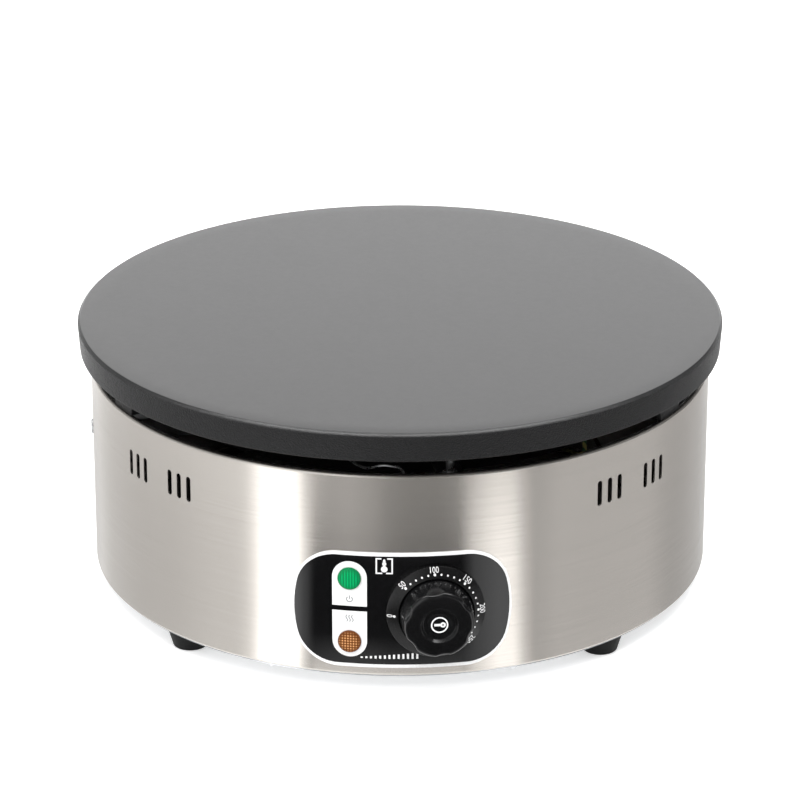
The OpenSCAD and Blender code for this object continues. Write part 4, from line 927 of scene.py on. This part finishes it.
VIEW_AZ, DARK, ABOVE_FLOOR = 1.4, 0.07, 0.001
MIDDLE, FAR_OUT = [-16.8, -15.6, 11, 13.5], [0.32, 0.38]
card_az = np.arange(-86, 86.1, 0.5)  # in degrees round the drum; the runs are in metres
card_run = np.array([0.008, 0.03, 0.055, 0.08, 0.14, 0.19, 0.24, 0.32, 0.38, 0.5, 0.9, 1.6])[:, None]
foot_points = turned(card_az + VIEW_AZ, DRUM_RADIUS * MM, ABOVE_FLOOR)
way_out = turned(2 * card_az + VIEW_AZ, 1.0, 0.0)
card_points = foot_points[None] + card_run[:, :, None] * way_out[None]
card_level, far_level = (np.interp(card_az, *table.T)[None, :] for table in (CARDS, FAR_CARDS))
card_level = card_level + (far_level - card_level) * np.interp(card_run, FAR_OUT, [0.0, 1.0])
middle = np.interp(card_az, MIDDLE, [0.0, 1.0, 1.0, 0.0])[None, :]
dip = middle * np.interp(card_run, [0.05, 0.08, 0.19, 0.24], [0.0, 1.0, 1.0, 0.0])
near = middle * np.interp(card_run, [0.03, 0.07], [1.0, 0.0])
card_level = card_level * (1 - dip) + DARK * dip
card_level = np.maximum(card_level, near)
card_mesh = bpy.data.meshes.new("cards")
p, q = grid_shape(card_points, False)
card_mesh.from_pydata(p.tolist(), [], q[:, ::-1].tolist())
level = card_mesh.color_attributes.new("level", "FLOAT_COLOR", "POINT")
level.data.foreach_set("color", card_level.ravel().repeat(4).astype(np.float32))
cards = placed("cards", card_mesh)
cards.visible_camera = cards.visible_diffuse = cards.visible_shadow = cards.visible_transmission = False
card_paint = bpy.data.materials.new("card_paint")
card_paint.use_nodes = True
nodes = card_paint.node_tree.nodes
nodes.remove(nodes["Principled BSDF"])
shade = add(card_paint, "ShaderNodeAttribute", attribute_name="level").outputs["Color"]
feed(card_paint, nodes["Material Output"].inputs["Surface"], glowing(card_paint, shade, 1.0))
dress(cards, card_paint)
print("cards:", len(card_mesh.polygons), "panes, levels", card_level.min(), "to", card_level.max())

# %% [markdown]
# ## Studio light
# Two things light the object. Plain surfaces are lit by a large soft lamp above the camera, which they
# don't mirror. What they do mirror is a dim room with soft boxes: a broad one in front, one behind the
# plate, which the plate's top shows, and a long one overhead, which draws the bright lines on upper
# edges. The camera itself sees white.

# %% World
world = bpy.data.worlds.new("studio")
bpy.context.scene.world = world
world.use_nodes = True
STRENGTH, REAR, UPPER, OVERHEAD, WHITE = 6.0, 0.4, 0.12, 6.0, 1.0
WALLS = [(-180, 1.9), (-160, 1.8), (-150, 0.5), (-70, 0.5), (-45, 1.2), (-20, 1.2), (-8, 0.7), (4, 0.2),
         (147, 0.15), (160, 1.8), (180, 1.9)]


def grey(level):
    """The grey that the background's strength lifts to that level."""
    return (*[level / STRENGTH] * 3, 1)


def softly(value, low, high):
    """Goes smoothly from 0 to 1 as the value goes from low to high."""
    return span(world, value, low, high, kind="SMOOTHSTEP")


direction = add(world, "ShaderNodeTexCoord").outputs["Generated"]
parts = add(world, "ShaderNodeSeparateXYZ", {"Vector": direction}).outputs
azimuth = maths(world, "ARCTAN2", parts["X"], maths(world, "MULTIPLY", parts["Y"], -1))
ramp = add(world, "ShaderNodeValToRGB", {"Fac": span(world, azimuth, -math.pi, math.pi)})
ramp.color_ramp.interpolation = "EASE"
stops = ramp.color_ramp.elements
while len(stops) < len(WALLS):
    stops.new(0.5)
for stop, (angle, level) in zip(stops, WALLS):
    stop.position = (angle + 180) / 360
for stop, (angle, level) in zip(stops, WALLS):
    stop.color = grey(level)
behind = maths(world, "MULTIPLY", softly(parts["Y"], -0.1, 0.1), softly(parts["Z"], 0.28, 0.62))
room = mixed(world, behind, ramp.outputs["Color"], grey(REAR))
room = mixed(world, softly(parts["Z"], 0.70, 0.80), room, grey(UPPER))
strip = softly(maths(world, "ABSOLUTE", parts["Y"]), 0.20, 0.15)
above = maths(world, "MULTIPLY", softly(parts["Z"], 0.78, 0.84), strip)
room = mixed(world, above, room, grey(OVERHEAD))
seen = add(world, "ShaderNodeLightPath").outputs["Is Camera Ray"]
background = world.node_tree.nodes["Background"].inputs
feed(world, background["Color"], mixed(world, seen, room, grey(WHITE)))
background["Strength"].default_value = STRENGTH
print("walls:", len(WALLS), "stops round the room")

# %% [markdown]
# ## Lamps
# A lamp's power spreads over its area, so a lamp of side a and radiance L takes about 4 L a^2 watts.

# %% Lamps
def lamp(name, where, at, side, radiance):
    """A square soft lamp that looks at a point and isn't mirrored."""
    light = bpy.data.lights.new(name, "AREA")
    light.shape, light.size, light.energy = "SQUARE", side, 4 * radiance * side**2
    made = placed(name, light)
    made.location = where
    made.rotation_euler = (Vector(at) - Vector(where)).to_track_quat("-Z", "Y").to_euler()
    made.visible_glossy = made.visible_camera = False
    return made


KEY_SIDE, KEY_RADIANCE = 2.2, 3.9
key = lamp("key", (0.0, -1.8, 2.6), (0.0, 0.0, 0.1), KEY_SIDE, KEY_RADIANCE)
print("key lamp in watts:", round(key.data.energy, 1))

# %% [markdown]
# ## Camera
# A long lens keeps a round plate round, as for a picture in a catalogue. It looks down from well above
# the plate, a little from the right of the middle.

# %% Camera
TILT, PAN = 67.84, 1.4
lens = bpy.data.cameras.new("camera")
lens.sensor_width, lens.lens = 36.0, 177.5
lens.clip_start, lens.clip_end = 0.05, 50
camera = placed("camera", lens)
camera.location = (0.0560, -2.2915, 1.0446)
camera.rotation_euler = (math.radians(TILT), 0, math.radians(PAN))
bpy.context.scene.camera = camera
bpy.context.scene.view_settings.view_transform = "Standard"
print("camera at", [round(v, 3) for v in camera.location], "with a lens of", lens.lens, "mm")
